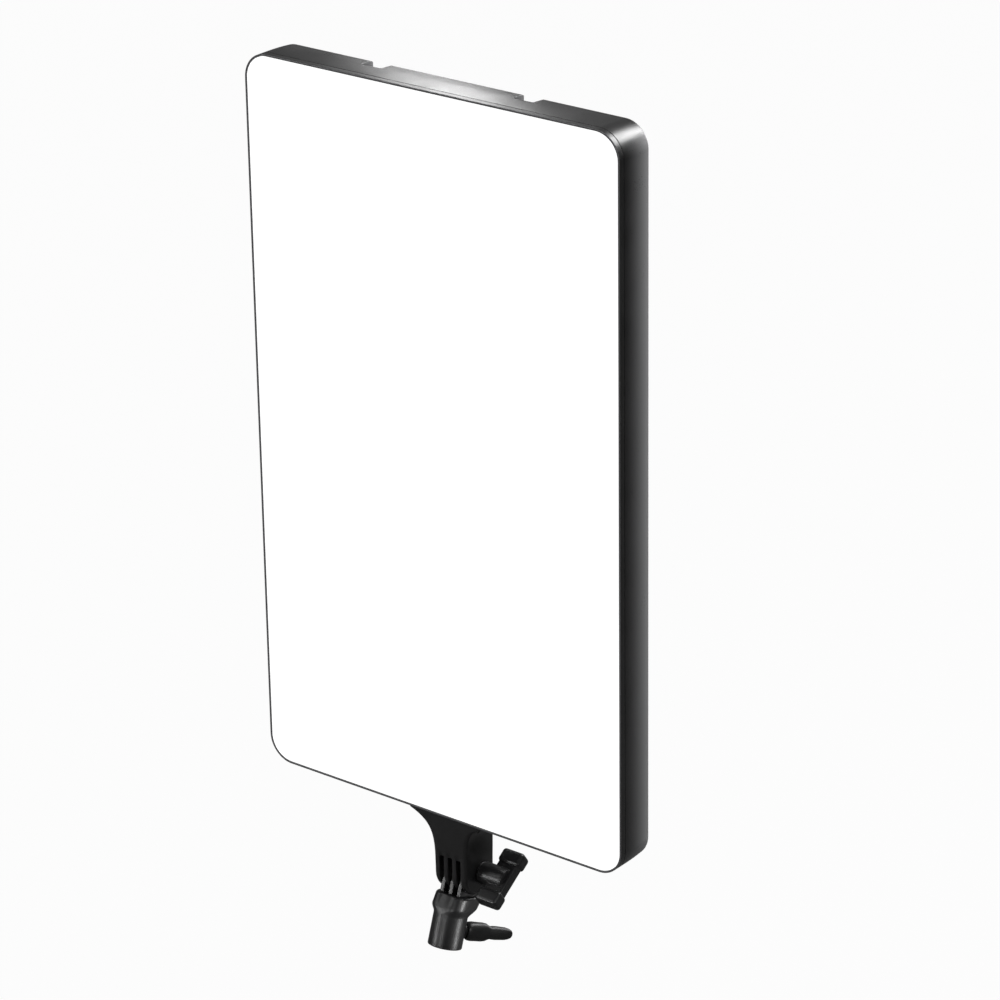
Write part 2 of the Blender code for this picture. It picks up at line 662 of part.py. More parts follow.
def housing_screw_holes():
    holes = []
    for index, place in enumerate(HOUSING_SCREWS):
        holes.append(rod(f"housing_hole_{index}", HOUSING_SCREW_RADIUS + GAP, POST_END - 3 * PAST,
                         PANEL_DEPTH + PAST, panel_frame, centre=place, facing="Y", sides=SMALL_ROUND,
                         cutter=True))
        holes.append(rod(f"housing_counterbore_{index}", HOUSING_HEAD_RADIUS + GAP,
                         PANEL_DEPTH - HEAD_RECESS, PANEL_DEPTH + PAST, panel_frame, centre=place,
                         facing="Y", sides=SMALL_ROUND,
                         cutter=True))
    for index, place in enumerate(PLATE_SCREWS):
        floor = PANEL_DEPTH - CHANNEL_DEPTH
        holes.append(rod(f"channel_pilot_{index}", PLATE_SHANK_RADIUS + 0.2 * MM, floor - WALL - PAST,
                         floor + PAST,
                         panel_frame, centre=place, facing="Y", sides=SMALL_ROUND, cutter=True))
    for index, place in enumerate(four_ways(COVER_SCREW)):
        holes.append(rod(f"cover_pilot_{index}", 1.2 * MM, INNER_BACK - 5 * MM, PANEL_DEPTH, panel_frame,
                         centre=(place[0], place[1] + CONTROL_Z), facing="Y", sides=SMALL_ROUND,
                         cutter=True))
    return holes


def vent_cutters():
    """Cooling slots in the outer bands of the rear, in two groups on each side."""
    cutters = []
    for side in (-1, 1):
        for group in VENT_GROUPS:
            first = group - (VENT_ROWS - 1) / 2 * VENT_PITCH
            slot = plate(f"vent_{side + 1}_{'low' if group < 0 else 'high'}",
                         [rounded_rectangle(*VENT_SIZE, VENT_SIZE[1] / 2 - 0.1 * MM, 2)], WALL * 3,
                         (side * VENT_X, PANEL_DEPTH - WALL / 2, first), panel_frame, cutter=True)
            row = slot.modifiers.new("row", "ARRAY")
            row.count = VENT_ROWS
            row.use_relative_offset = False
            row.use_constant_offset = True
            row.constant_offset_displace = (0, VENT_PITCH, 0)
            cutters.append(slot)
    return cutters


def neck_screw_holes():
    bottom = -PANEL_HEIGHT / 2
    return [rod(f"bottom_hole_{side + 1}", NECK_HOLE_RADIUS, bottom - PAST, bottom + WALL + PAST,
                panel_frame,
                centre=(side * NECK_SCREW_X, FLANGE_Y), sides=SMALL_ROUND, cutter=True) for side in (-1, 1)]


def make_housing_screws():
    """Pan-head screws from the rear into the frame's posts."""
    head_floor = PANEL_DEPTH - HEAD_RECESS + GAP
    head_top = head_floor + HOUSING_HEAD_HEIGHT
    for index, place in enumerate(HOUSING_SCREWS):
        screw = rod(f"housing_screw_{index + 1}", HOUSING_HEAD_RADIUS, head_floor, head_top,
                    panel_frame, "black_steel", centre=place, facing="Y", sides=SMALL_ROUND,
                    top_radius=HOUSING_HEAD_RADIUS * 0.85)
        shank = rod(f"housing_shank_{index + 1}", HOUSING_SCREW_RADIUS, SCREW_TIP,
                    head_floor + HOUSING_HEAD_HEIGHT / 2, panel_frame, centre=place, facing="Y",
                    sides=SMALL_ROUND, cutter=True)
        join(screw, shank)
        cross_recess(screw, place, head_top)


def cross_recess(screw, place, top, size=2.6 * MM):
    """A cross slot in a screw's head, facing the rear."""
    width = 0.6 * MM
    depth = 1.6 * MM                # half of it above the head
    for turn, dims in enumerate(((size, depth, width), (width, depth, size))):
        cut(screw, box(f"{screw.name}_slot_{turn}", dims, (place[0], top, place[1]), panel_frame,
                       cutter=True))


# ---------------------------------------------------------------- controls

def on_control(across, up):
    """A place of the control area, given from its centre."""
    return (across, CONTROL_Z + up)


def make_control_panel():
    outline = rounded_rectangle(*CONTROL_SIZE, CONTROL_CORNER, 4)
    panel = plate("control_panel", [outline], CONTROL_THICKNESS,
                  (0, PANEL_FACE - CONTROL_THICKNESS / 2, CONTROL_Z), panel_frame, "black_plastic")
    for index, place in enumerate(four_ways(BOARD_POST)):
        post = rod(f"board_post_{index}", BOARD_POST_RADIUS, BOARD_BACK + GAP, COVER_BACK + PAST,
                   panel_frame,
                   centre=on_control(*place), facing="Y", sides=SMALL_ROUND, cutter=True)
        join(panel, post)
    openings = [
        box("window_opening", (WINDOW_SIZE[0], 6 * MM, WINDOW_SIZE[1]),
            (0, PANEL_FACE, CONTROL_Z + WINDOW_Z), panel_frame, cutter=True),
        box("switch_opening", (SWITCH_OPENING[0], 6 * MM, SWITCH_OPENING[1]),
            (SWITCH_X, PANEL_FACE, CONTROL_Z + PORT_Z), panel_frame, cutter=True),
    ]
    round_openings = [
        ("shaft_left", BUSHING_RADIUS + GAP, (-KNOB_X, KNOB_Z)),
        ("shaft_right", BUSHING_RADIUS + GAP, (KNOB_X, KNOB_Z)),
        ("button_left", BUTTON_RADIUS + GAP, (-BUTTON_X, BUTTON_Z)),
        ("button_right", BUTTON_RADIUS + GAP, (BUTTON_X, BUTTON_Z)),
        ("jack", JACK_RADIUS + GAP, (JACK_X, PORT_Z)),
        ("sensor", SENSOR_RADIUS + GAP, (SENSOR_X, WINDOW_Z)),
    ]
    for name, radius, place in round_openings:
        openings.append(rod(name + "_opening", radius, COVER_BACK - 2 * PAST, PANEL_FACE + 2 * PAST,
                            panel_frame, centre=on_control(*place), facing="Y", cutter=True))
    for index, place in enumerate(four_ways(COVER_SCREW)):
        openings.append(rod(f"cover_hole_{index}", COVER_SHANK_RADIUS + GAP, COVER_BACK - PAST,
                            PANEL_FACE + PAST,
                            panel_frame, centre=on_control(*place), facing="Y", sides=SMALL_ROUND,
                            cutter=True))
    cut(panel, *openings)


def make_cover_screws():
    lower_radius, upper_radius, height = COVER_HEAD
    head_top = PANEL_FACE + GAP + height
    for index, place in enumerate(four_ways(COVER_SCREW)):
        centre = on_control(*place)
        screw = rod(f"cover_screw_{index + 1}", lower_radius, PANEL_FACE + GAP, head_top, panel_frame,
                    "black_steel", centre=centre, facing="Y", sides=SMALL_ROUND, top_radius=upper_radius)
        shank = rod(f"cover_shank_{index + 1}", COVER_SHANK_RADIUS, COVER_BACK - 3 * MM, head_top - GAP,
                    panel_frame, centre=centre, facing="Y", sides=SMALL_ROUND, cutter=True)
        join(screw, shank)
        cross_recess(screw, centre, head_top, 1.8 * MM)


def make_driver_board():
    outline = rounded_rectangle(*BOARD_SIZE, 2 * MM, 3)
    plate("driver_board", [outline], BOARD_THICKNESS, (0, BOARD_FRONT + BOARD_THICKNESS / 2, CONTROL_Z),
          panel_frame, "green_board")


def make_encoder(name, across):
    """Rotary encoder: a square can on the board with a bushing through the control panel."""
    centre = on_control(across, KNOB_Z)
    can_middle = BOARD_BACK + GAP + ENCODER_SIZE[1] / 2
    can = box(f"{name}_encoder", ENCODER_SIZE, (centre[0], can_middle, centre[1]), panel_frame, "steel")
    bushing = rod(f"{name}_bushing", BUSHING_RADIUS, BOARD_BACK + 4 * MM, PANEL_FACE + 0.8 * MM,
                  panel_frame,
                  centre=centre, facing="Y", cutter=True)
    join(can, bushing)
    cut(can, rod(f"{name}_shaft_room", SHAFT_RADIUS + 0.1 * MM, BOARD_BACK + 3 * MM, PANEL_FACE + 3 * MM,
                 panel_frame, centre=centre, facing="Y", cutter=True))
    return centre


def make_knob(name, across):
    """Finger knob with a fluted skirt on its encoder's shaft."""
    centre = make_encoder(name, across)
    start = PANEL_FACE + KNOB_ABOVE_FACE
    end = start + KNOB_HEIGHT
    shaft_end = end - SHAFT_BELOW_TOP
    rod(f"{name}_shaft", SHAFT_RADIUS, BOARD_BACK + 3.5 * MM, shaft_end, panel_frame, "steel",
        centre=centre, facing="Y")
    knob = rod(f"{name}_knob", KNOB_RADIUS, start, end, panel_frame, "black_plastic", centre=centre,
               facing="Y", sides=36, top_radius=KNOB_RADIUS * 0.92)
    bevel(knob, 0.8 * MM)
    flutes = rod(f"{name}_flute", FLUTE_RADIUS, start + 2 * MM, end + 1 * MM, panel_frame,
                 centre=(centre[0] + KNOB_RADIUS * 1.02, centre[1]), facing="Y", sides=8, cutter=True)
    spin_copies(flutes, centre, FLUTE_COUNT)
    cut(knob, flutes)
    cut(knob, rod(f"{name}_knob_bore", SHAFT_RADIUS + 0.05 * MM, start - 1 * MM, shaft_end + GAP,
                  panel_frame,
                  centre=centre, facing="Y", cutter=True))
    cut(knob, rod(f"{name}_knob_hollow", KNOB_RADIUS * 0.6, start - 1 * MM, start + 2.5 * MM, panel_frame,
                  centre=centre, facing="Y", cutter=True))
    cut(knob, box(f"{name}_pointer", (1 * MM, 1 * MM, KNOB_RADIUS * 0.6),
                  (centre[0], end, centre[1] + KNOB_RADIUS * 0.55), panel_frame, cutter=True))


def spin_copies(cutter, centre, count):
    """Repeat a cutter's mesh around an axis along Y through the centre."""
    local_axis = Vector((centre[0] - cutter.location.x, cutter.location.z - centre[1], 0))
    shape = bmesh.new()
    shape.from_mesh(cutter.data)
    template = shape.verts[:] + shape.edges[:] + shape.faces[:]
    for step in range(1, count):
        copies = bmesh.ops.duplicate(shape, geom=template)["geom"]
        verts = [element for element in copies if isinstance(element, bmesh.types.BMVert)]
        bmesh.ops.rotate(shape, verts=verts, cent=local_axis,
                         matrix=Matrix.Rotation(2 * math.pi * step / count, 3, "Z"))
    shape.to_mesh(cutter.data)
    shape.free()


def make_button(name, across):
    centre = on_control(across, BUTTON_Z)
    flange_radius, flange_thickness = BUTTON_FLANGE
    flange_back = COVER_BACK - 0.2 * MM
    base = flange_back - flange_thickness
    button = rod(f"{name}_button", BUTTON_RADIUS, base, PANEL_FACE + BUTTON_PROUD, panel_frame, "rubber",
                 centre=centre, facing="Y")
    bevel(button, 0.4 * MM)
    flange = rod(f"{name}_button_flange", flange_radius, base, flange_back,
                 panel_frame, centre=centre, facing="Y", cutter=True)
    join(button, flange)


def make_display():
    across, up = on_control(0, WINDOW_Z)
    box("display_window", (WINDOW_SIZE[0] - 2 * GAP, WINDOW_THICKNESS, WINDOW_SIZE[1] - 2 * GAP),
        (across, PANEL_FACE - WINDOW_THICKNESS / 2, up), panel_frame, "smoked_window")
    module_face = COVER_BACK - 0.15 * MM
    box("display_module", (WINDOW_SIZE[0] - 2 * MM, MODULE_DEPTH, WINDOW_SIZE[1] - 1 * MM),
        (across, module_face - MODULE_DEPTH / 2, up), panel_frame, "rubber")


def make_sensor():
    """Receiver for the hand control, behind a domed dark window."""
    centre = on_control(SENSOR_X, WINDOW_Z)
    dome = rod("sensor_window", SENSOR_RADIUS, COVER_BACK - 2 * MM, PANEL_FACE + SENSOR_PROUD, panel_frame,
               "smoked_window", centre=centre, facing="Y")
    bevel(dome, 0.5 * MM)


def make_power_switch():
    across, up = on_control(SWITCH_X, PORT_Z)
    body_back = BOARD_BACK + 1 * MM
    body_end = PANEL_FACE + GAP
    body_depth = body_end + 1 * MM - body_back
    body_size = (SWITCH_OPENING[0] - 2 * GAP, body_depth, SWITCH_OPENING[1] - 2 * GAP)
    body = box("power_switch_body", body_size, (across, body_back + body_depth / 2, up), panel_frame,
               "black_plastic")
    flange = box("switch_flange", (SWITCH_FLANGE[0], SWITCH_FLANGE_THICKNESS, SWITCH_FLANGE[1]),
                 (across, body_end + SWITCH_FLANGE_THICKNESS / 2, up), panel_frame, cutter=True)
    join(body, flange)
    room_depth = 9 * MM
    cut(body, box("switch_room", (SWITCH_ROOM[0], room_depth, SWITCH_ROOM[1]),
                  (across, body_end - 1 * MM, up),
                  panel_frame, cutter=True))
    rocker_pivot_y = body_end - 1.2 * MM
    rocker_axis = new_empty("rocker_axis", (across, rocker_pivot_y, up), (ROCKER_TILT, 0, 0), panel_frame)
    half, lip, tip = ROCKER_HALF, ROCKER_LIP, ROCKER_TIP
    hollow_top = [(half, lip), (half, tip), (0, 0.7 * tip), (-half, tip), (-half, lip)]
    outline = arc((0, 0), ROCKER_BACK_RADIUS, 180, 360, 8) + hollow_top
    rocker = plate("power_rocker", [[(outwards, up) for up, outwards in outline]], ROCKER_WIDTH, (0, 0, 0),
                   rocker_axis, "black_plastic", facing="X")
    bevel(rocker, 0.3 * MM, 1)


def make_dc_jack():
    across, up = on_control(JACK_X, PORT_Z)
    rim_radius, rim_thickness = JACK_RIM
    base = PANEL_FACE + GAP
    jack = rod("dc_jack", JACK_RADIUS, BOARD_BACK + 1 * MM, base + 0.5 * MM, panel_frame,
               "black_plastic", centre=(across, up), facing="Y")
    rim = rod("jack_rim", rim_radius, base, base + rim_thickness, panel_frame,
              centre=(across, up), facing="Y", cutter=True)
    join(jack, rim)
    cut(jack, rod("jack_room", JACK_ROOM_RADIUS, BOARD_BACK + 3 * MM, base + 3 * PAST, panel_frame,
                  centre=(across, up), facing="Y", cutter=True))
    pin = rod("jack_pin", JACK_PIN_RADIUS, BOARD_BACK + 2 * MM, PANEL_FACE - 1 * MM, panel_frame,
              centre=(across, up),
              facing="Y", sides=SMALL_ROUND, cutter=True)
    join(jack, pin)


def make_board_components():
    """Smoothing capacitor, choke and output connector on the rear side of the board."""
    base = BOARD_BACK + GAP
    can_radius, can_height = CAPACITOR
    can = rod("capacitor", can_radius, base, base + can_height, panel_frame, "capacitor_sleeve",
              centre=on_control(*CAPACITOR_PLACE), facing="Y")
    bevel(can, 0.5 * MM, 1)
    choke_radius, hole_radius, choke_height = CHOKE
    choke_place = on_control(*CHOKE_PLACE)
    choke = rod("choke", choke_radius, base, base + choke_height, panel_frame, "copper", centre=choke_place,
                facing="Y")
    cut(choke, rod("choke_room", hole_radius, base - PAST, base + choke_height + PAST, panel_frame,
                   centre=choke_place, facing="Y", sides=SMALL_ROUND, cutter=True))
    across, up = on_control(*CONNECTOR_PLACE)
    box("output_connector", CONNECTOR_SIZE, (across, base + CONNECTOR_SIZE[1] / 2, up), panel_frame,
        "connector_white")


def make_harness():
    """A red and a black wire from the board's connector to the light plate's hole."""
    depth = BOARD_BACK + GAP + CONNECTOR_SIZE[1] / 2
    across, up = on_control(*CONNECTOR_PLACE)
    connector_top = up + CONNECTOR_SIZE[2] / 2
    for name, colour, side in (("harness_positive", "red_wire", -0.5),
                               ("harness_negative", "black_wire", 0.5)):
        shift = side * WIRE_SPACING
        start = Vector((across + shift, depth, connector_top + GAP + 0.2 * MM))
        end = Vector((0, PLATE_BACK + 0.4 * MM, HARNESS_Z - shift))
        points = [start,
                  start + Vector((0, 0.6 * MM, 6 * MM)),
                  start + Vector((1 * MM, 0, 14 * MM)),
                  start + Vector((5 * MM, -1 * MM, 27 * MM)),
                  end + Vector((-9 * MM, 3.5 * MM, -2 * MM)),
                  end + Vector((-3 * MM, 3.5 * MM, 0)),
                  end + Vector((0, 2 * MM, 0)),
                  end]
        wire(name, points, WIRE_RADIUS, panel_frame, colour)


# ---------------------------------------------------------------- bracket

def neck_half_width(height):
    """Half-width of the trumpet at a height above the pivot."""
    drop = NECK_TOP - height
    flare = FLANGE_HALF_WIDTH - HINGE_HALF_WIDTH
    return HINGE_HALF_WIDTH + flare * math.exp(-max(drop - FLANGE_THICKNESS, 0) / NECK_FLARE_LENGTH)


def neck_ring(height):
    """Outline of the neck at a height above the pivot, its centre moving forward to the flange."""
    rise = max(height - NECK_FOOT, 0) / (NECK_TOP - NECK_FOOT)
    blend = rise * rise
    centre_y = NECK_SETBACK + (FLANGE_Y - PIVOT_BEHIND_FACE - NECK_SETBACK) * blend
    depth = 2 * NECK_HALF_DEPTH + (FLANGE_DEPTH - 2 * NECK_HALF_DEPTH) * blend
    outline = rounded_rectangle(2 * neck_half_width(height), depth, NECK_CORNER, 3)
    return [(x, y + centre_y, height) for x, y in outline]


def make_neck():
    """Trumpet neck that keeps its section down to the pivot and ends in four round leaves."""
    span = NECK_TOP - NECK_FOOT
    heights = [0] + [NECK_FOOT + span * step / 12 for step in range(11)]
    heights += [NECK_TOP - FLANGE_THICKNESS, NECK_TOP]
    neck = loft("neck_bracket", [neck_ring(height) for height in heights], tilt_axis, "black_plastic")
    drum = rod("neck_drum", NECK_HALF_DEPTH, -HINGE_HALF_WIDTH, HINGE_HALF_WIDTH, tilt_axis,
               centre=(NECK_SETBACK, 0), facing="X", sides=36, cutter=True)
    bevel(drum, NECK_CORNER, 3)
    join(neck, drum)
    slot_height = NECK_FOOT + NECK_HALF_DEPTH + 2 * PAST
    for number in (-1, 0, 1):
        cut(neck, box(f"neck_slot_{number + 1}", (LEAF_THICKNESS + 2 * GAP, 4 * NECK_HALF_DEPTH, slot_height),
                      (number * 2 * LEAF_PITCH, 0, NECK_FOOT - slot_height / 2), tilt_axis, cutter=True))
    reach = HINGE_HALF_WIDTH + 4 * PAST
    cut(neck, rod("neck_bolt_hole", BOLT_RADIUS + 0.1 * MM, -reach, reach, tilt_axis, facing="X", cutter=True))
    cut(neck, rod("bolt_head_pocket", BOLT_HEAD_FLATS / math.sqrt(3) + GAP, -reach,
                  -HINGE_HALF_WIDTH + BOLT_HEAD_POCKET, tilt_axis, facing="X", sides=6, cutter=True))
    for side in (-1, 1):
        centre = (side * NECK_SCREW_X, FLANGE_Y - PIVOT_BEHIND_FACE)
        cut(neck, rod(f"neck_screw_hole_{side + 1}", NECK_HOLE_RADIUS, NECK_TOP - 12 * MM, NECK_TOP + PAST,
                      tilt_axis, centre=centre, sides=SMALL_ROUND, cutter=True))
        cut(neck, rod(f"neck_counterbore_{side + 1}", NECK_COUNTERBORE_RADIUS, NECK_TOP - 25 * MM,
                      NECK_TOP - FLANGE_THICKNESS, tilt_axis, centre=centre, sides=24, cutter=True))


def make_neck_fasteners():
    """Tapped steel plate inside the housing and the two screws that pull the neck up to it."""
    inside = NECK_TOP + GAP + WALL + GAP
    plate_width, plate_depth, plate_thickness = NECK_PLATE_SIZE
    head_radius, head_height = NECK_HEAD
    head_top = NECK_TOP - FLANGE_THICKNESS - GAP
    outline = rounded_rectangle(plate_width, plate_depth, 2 * MM, 3)
    backing = plate("neck_plate", [outline], plate_thickness,
                    (0, FLANGE_Y - PIVOT_BEHIND_FACE, inside + plate_thickness / 2), tilt_axis, "steel",
                    "Z")
    for number, side in ((1, -1), (2, 1)):
        centre = (side * NECK_SCREW_X, FLANGE_Y - PIVOT_BEHIND_FACE)
        cut(backing, rod(f"backing_hole_{number}", NECK_SCREW_RADIUS + GAP, inside - PAST,
                         inside + plate_thickness + PAST, tilt_axis, centre=centre, sides=SMALL_ROUND,
                         cutter=True))
        screw = rod(f"neck_screw_{number}", head_radius, head_top - head_height, head_top, tilt_axis,
                    "black_steel", centre=centre)
        shank = rod(f"neck_shank_{number}", NECK_SCREW_RADIUS, head_top - 1 * MM,
                    inside + plate_thickness + 2 * MM,
                    tilt_axis, centre=centre, sides=SMALL_ROUND, cutter=True)
        join(screw, shank)
        cut(screw, rod(f"neck_screw_key_{number}", 2 * MM, head_top - 4 * MM, head_top - 1.2 * MM,
                       tilt_axis,
                       centre=centre, sides=6, cutter=True))


def block_ring(height, half_width, half_depth, centre_y):
    outline = rounded_rectangle(2 * half_width, 2 * half_depth, BLOCK_CORNER, 4)
    return [(x, y + centre_y, height) for x, y in outline]


def socket_leaf_outline():
    """A disc about the pivot that runs straight down into the block; points (y, z)."""
    reach = SLOT_BELOW_PIVOT + 3 * MM
    return arc((0, 0), LEAF_RADIUS, 0, 180, 20) + [(-LEAF_RADIUS, -reach), (LEAF_RADIUS, -reach)]


def make_socket():
    """Bored tube for the spigot, with a block above it that carries three hinge leaves."""
    socket = rod("stand_socket", TUBE_RADIUS, -BORE_DEPTH, BLOCK_TOP - 2 * MM, socket_frame, "black_plastic",
                 sides=36)
    bevel(socket, 0.6 * MM)
    block = loft("socket_block", [
        block_ring(BLOCK_LOW, TUBE_RADIUS * 0.9, TUBE_RADIUS * 0.94, 0.4 * MM),
        block_ring(BLOCK_LOW + 6 * MM, BLOCK_HALF_WIDTH, TUBE_RADIUS + 0.9 * MM, 1.8 * MM),
        block_ring(BLOCK_TOP, BLOCK_HALF_WIDTH - 0.3 * MM, LEAF_RADIUS + 1.9 * MM, PIVOT_SETBACK - 1.9 * MM),
        ], socket_frame, None, cutter=True)
    leaves = plate("socket_leaves", [socket_leaf_outline()], 4 * LEAF_PITCH + LEAF_THICKNESS, PIVOT_IN_SOCKET,
                   socket_frame, facing="X", cutter=True)
    join(socket, block, leaves)
    slot_depth = SLOT_BELOW_PIVOT + LEAF_RADIUS + 2 * MM
    for side in (-1, 1):
        cut(socket, box(f"socket_slot_{side + 1}", (LEAF_THICKNESS + 2 * GAP, 6 * LEAF_RADIUS, slot_depth),
                        (side * LEAF_PITCH, PIVOT_SETBACK, BLOCK_TOP + slot_depth / 2), socket_frame,
                        cutter=True))
    cut(socket, rod("spigot_bore", BORE_RADIUS, -BORE_DEPTH - PAST, 0, socket_frame, sides=36, cutter=True))
    cut(socket, rod("socket_bolt_hole", BOLT_RADIUS + GAP, -HINGE_HALF_WIDTH, HINGE_HALF_WIDTH, socket_frame,
                    centre=(PIVOT_IN_SOCKET.y, PIVOT_IN_SOCKET.z), facing="X", cutter=True))
    cut(socket, rod("insert_hole", LOCK_INSERT_RADIUS + GAP, BORE_RADIUS - 1.5 * MM, TUBE_RADIUS + 8 * MM,
                    lock_frame, cutter=True))


def make_lock_boss():
    """Threaded steel insert in the socket's wall, flanged on the outside."""
    insert = rod("lock_insert", LOCK_INSERT_RADIUS, BORE_RADIUS + 0.6 * MM, TUBE_RADIUS + 0.9 * MM,
                 lock_frame,
                 "black_steel")
    cut(insert, rod("insert_thread", LOCK_STUD_RADIUS + 0.1 * MM, 0, TUBE_RADIUS + 4 * MM, lock_frame,
                    cutter=True))


def make_hinge_bolt():
    """Hexagon bolt, held from turning by its pocket in the neck's outer leaf."""
    head_start = -HINGE_HALF_WIDTH + BOLT_HEAD_POCKET - GAP
    bolt = rod("hinge_bolt", BOLT_HEAD_FLATS / math.sqrt(3), head_start - BOLT_HEAD_HEIGHT, head_start,
               tilt_axis, "steel", facing="X", sides=6)
    shank = rod("bolt_shank", BOLT_RADIUS, head_start - 0.5 * MM, head_start + BOLT_LENGTH, tilt_axis,
                facing="X", cutter=True)
    join(bolt, shank)


def make_tilt_washer():
    start = HINGE_HALF_WIDTH + GAP
    washer = rod("tilt_washer", WASHER_RADIUS, start, start + WASHER_THICKNESS, tilt_axis, "black_steel",
                 facing="X")
    cut(washer, rod("washer_hole", BOLT_RADIUS + 0.2 * MM, start - PAST,
                    start + WASHER_THICKNESS + 2 * PAST,
                    tilt_axis, facing="X", cutter=True))


def make_tilt_knob():
    """Hub on the hinge bolt with a bar across it; the bar's ends are thick lobes."""
    bar_middle = (BAR_START + BAR_END) / 2
    knob = rod("tilt_knob", HUB_RADIUS, KNOB_START, HUB_END, knob_frame, "black_plastic")
    bevel(knob, 0.6 * MM)
    web = box("knob_web", (2 * LOBE_SPACING, WEB_THICKNESS, BAR_DEPTH - 2 * MM),
              (0, 0, bar_middle), knob_frame, cutter=True)
    bevel(web, 1 * MM)
    join(knob, web)
    for side in (-1, 1):
        lobe = box(f"knob_lobe_{side + 1}", (LOBE_SIZE[0], LOBE_SIZE[1], BAR_DEPTH),
                   (side * LOBE_SPACING, 0, bar_middle), knob_frame, cutter=True)
        bevel(lobe, 2 * MM, 3)
        join(knob, lobe)
    nut_start = KNOB_START + GAP
    nut_end = nut_start + NUT_LENGTH
    cut(knob, rod("knob_insert_room", NUT_RADIUS + GAP, KNOB_START - PAST, nut_end + 2 * GAP, knob_frame,
                  sides=6, cutter=True))
    cut(knob, rod("knob_bolt_room", BOLT_RADIUS + GAP, KNOB_START, BOLT_LENGTH - 8 * MM, knob_frame,
                  cutter=True))
    insert = rod("tilt_knob_nut", NUT_RADIUS, nut_start, nut_end, knob_frame, "brass", sides=6)
    cut(insert, rod("nut_thread", BOLT_RADIUS + 0.1 * MM, nut_start - PAST, nut_end + 3 * PAST, knob_frame,
                    cutter=True))


def grip_ring(along, half_height, half_width):
    """An oval section of the grip; +X of the lock screw's frame runs along the socket."""
    sides = 20
    angles = [2 * math.pi * step / sides for step in range(sides)]
    return [(half_height * math.cos(a), half_width * math.sin(a), along) for a in angles]


def make_lock_screw():
    """Thumb screw: a steel stud moulded into a flat grip with a thick and a thin lobe."""
    knob_start = LOCK_KNOB_START
    waist = knob_start + 18.5 * MM
    sections = [(knob_start, 5.2, 5.2), (knob_start + 1 * MM, 6, 5.6), (knob_start + 4 * MM, 6.6, 5.4),
                (knob_start + 12 * MM, 6.5, 4.2), (waist - 2.5 * MM, 5.6, 3.8), (waist, 4.4, 3.6),
                (waist + 2.5 * MM, 4.7, 3.6), (LOCK_TIP - 5 * MM, 4.2, 3.3), (LOCK_TIP - 1.4 * MM, 3, 2.5),
                (LOCK_TIP, 1.4, 1.2)]
    rings = [grip_ring(along, height * MM, width * MM) for along, height, width in sections]
    knob = loft("lock_screw", rings, lock_frame, "black_plastic")
    cut(knob, rod("stud_room", LOCK_STUD_RADIUS + GAP, knob_start - PAST,
                  knob_start + LOCK_ROOM_LENGTH, lock_frame, cutter=True))
    pad_end = BORE_RADIUS + 0.9 * MM
    rod("lock_stud", LOCK_STUD_RADIUS, pad_end + GAP, knob_start + LOCK_ROOM_LENGTH - 0.5 * MM, lock_frame,
        "steel")
    rod("lock_pad", LOCK_PAD_RADIUS, BORE_RADIUS - 0.1 * MM, pad_end, lock_frame, "brass")


make_diffuser()
make_diffuser_tape()
make_bezel()
make_led_plate()
make_led_strips()
make_reflector()
make_plate_screws()
make_rear_housing()
make_housing_screws()
make_control_panel()
make_cover_screws()
make_driver_board()
make_knob("brightness", -KNOB_X)
make_knob("colour", KNOB_X)
make_button("mode", -BUTTON_X)
make_button("channel", BUTTON_X)
make_display()
make_sensor()
make_power_switch()
make_dc_jack()
make_board_components()
make_harness()
make_neck()
make_neck_fasteners()
make_socket()
make_lock_boss()
make_hinge_bolt()
make_tilt_washer()
make_tilt_knob()
make_lock_screw()
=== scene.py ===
"""Looks of the LED panel light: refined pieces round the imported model, procedural finishes, a pale studio.

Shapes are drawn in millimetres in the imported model's frame, and piece() brings them to metres: +Z up, the lit
face looks along -Y, X runs across the panel. Shader, light and camera places are in metres.
"""
import json
import math

import bmesh
import bpy
from mathutils import Matrix, Vector


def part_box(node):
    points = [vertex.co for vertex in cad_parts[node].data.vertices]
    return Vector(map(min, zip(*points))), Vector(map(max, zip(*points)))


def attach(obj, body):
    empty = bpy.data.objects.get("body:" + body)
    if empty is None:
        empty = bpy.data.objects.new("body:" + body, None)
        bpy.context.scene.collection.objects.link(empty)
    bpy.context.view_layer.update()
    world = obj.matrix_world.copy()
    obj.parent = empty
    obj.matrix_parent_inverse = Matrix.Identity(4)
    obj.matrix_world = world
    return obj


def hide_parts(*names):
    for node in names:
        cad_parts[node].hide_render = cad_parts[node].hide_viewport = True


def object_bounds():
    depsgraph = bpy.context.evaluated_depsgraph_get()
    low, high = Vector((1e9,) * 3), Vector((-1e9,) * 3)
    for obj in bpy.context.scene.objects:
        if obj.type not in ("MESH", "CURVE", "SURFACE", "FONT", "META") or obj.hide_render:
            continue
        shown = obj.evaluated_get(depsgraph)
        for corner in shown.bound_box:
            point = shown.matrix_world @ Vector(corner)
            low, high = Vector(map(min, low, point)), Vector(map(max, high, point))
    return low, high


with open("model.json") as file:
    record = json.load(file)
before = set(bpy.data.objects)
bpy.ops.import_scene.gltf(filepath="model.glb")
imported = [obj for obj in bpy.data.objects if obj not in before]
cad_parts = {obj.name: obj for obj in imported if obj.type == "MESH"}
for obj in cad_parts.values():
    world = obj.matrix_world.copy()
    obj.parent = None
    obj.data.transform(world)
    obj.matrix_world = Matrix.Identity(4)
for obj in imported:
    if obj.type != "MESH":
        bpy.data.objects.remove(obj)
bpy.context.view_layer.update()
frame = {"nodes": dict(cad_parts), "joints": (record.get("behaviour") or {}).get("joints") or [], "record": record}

MM = 0.001
GAP = 0.3

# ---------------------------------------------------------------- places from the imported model

joints = {joint["name"]: joint for joint in frame["joints"]}
mounts = {mount["name"]: mount for mount in frame["record"]["mounts"]}


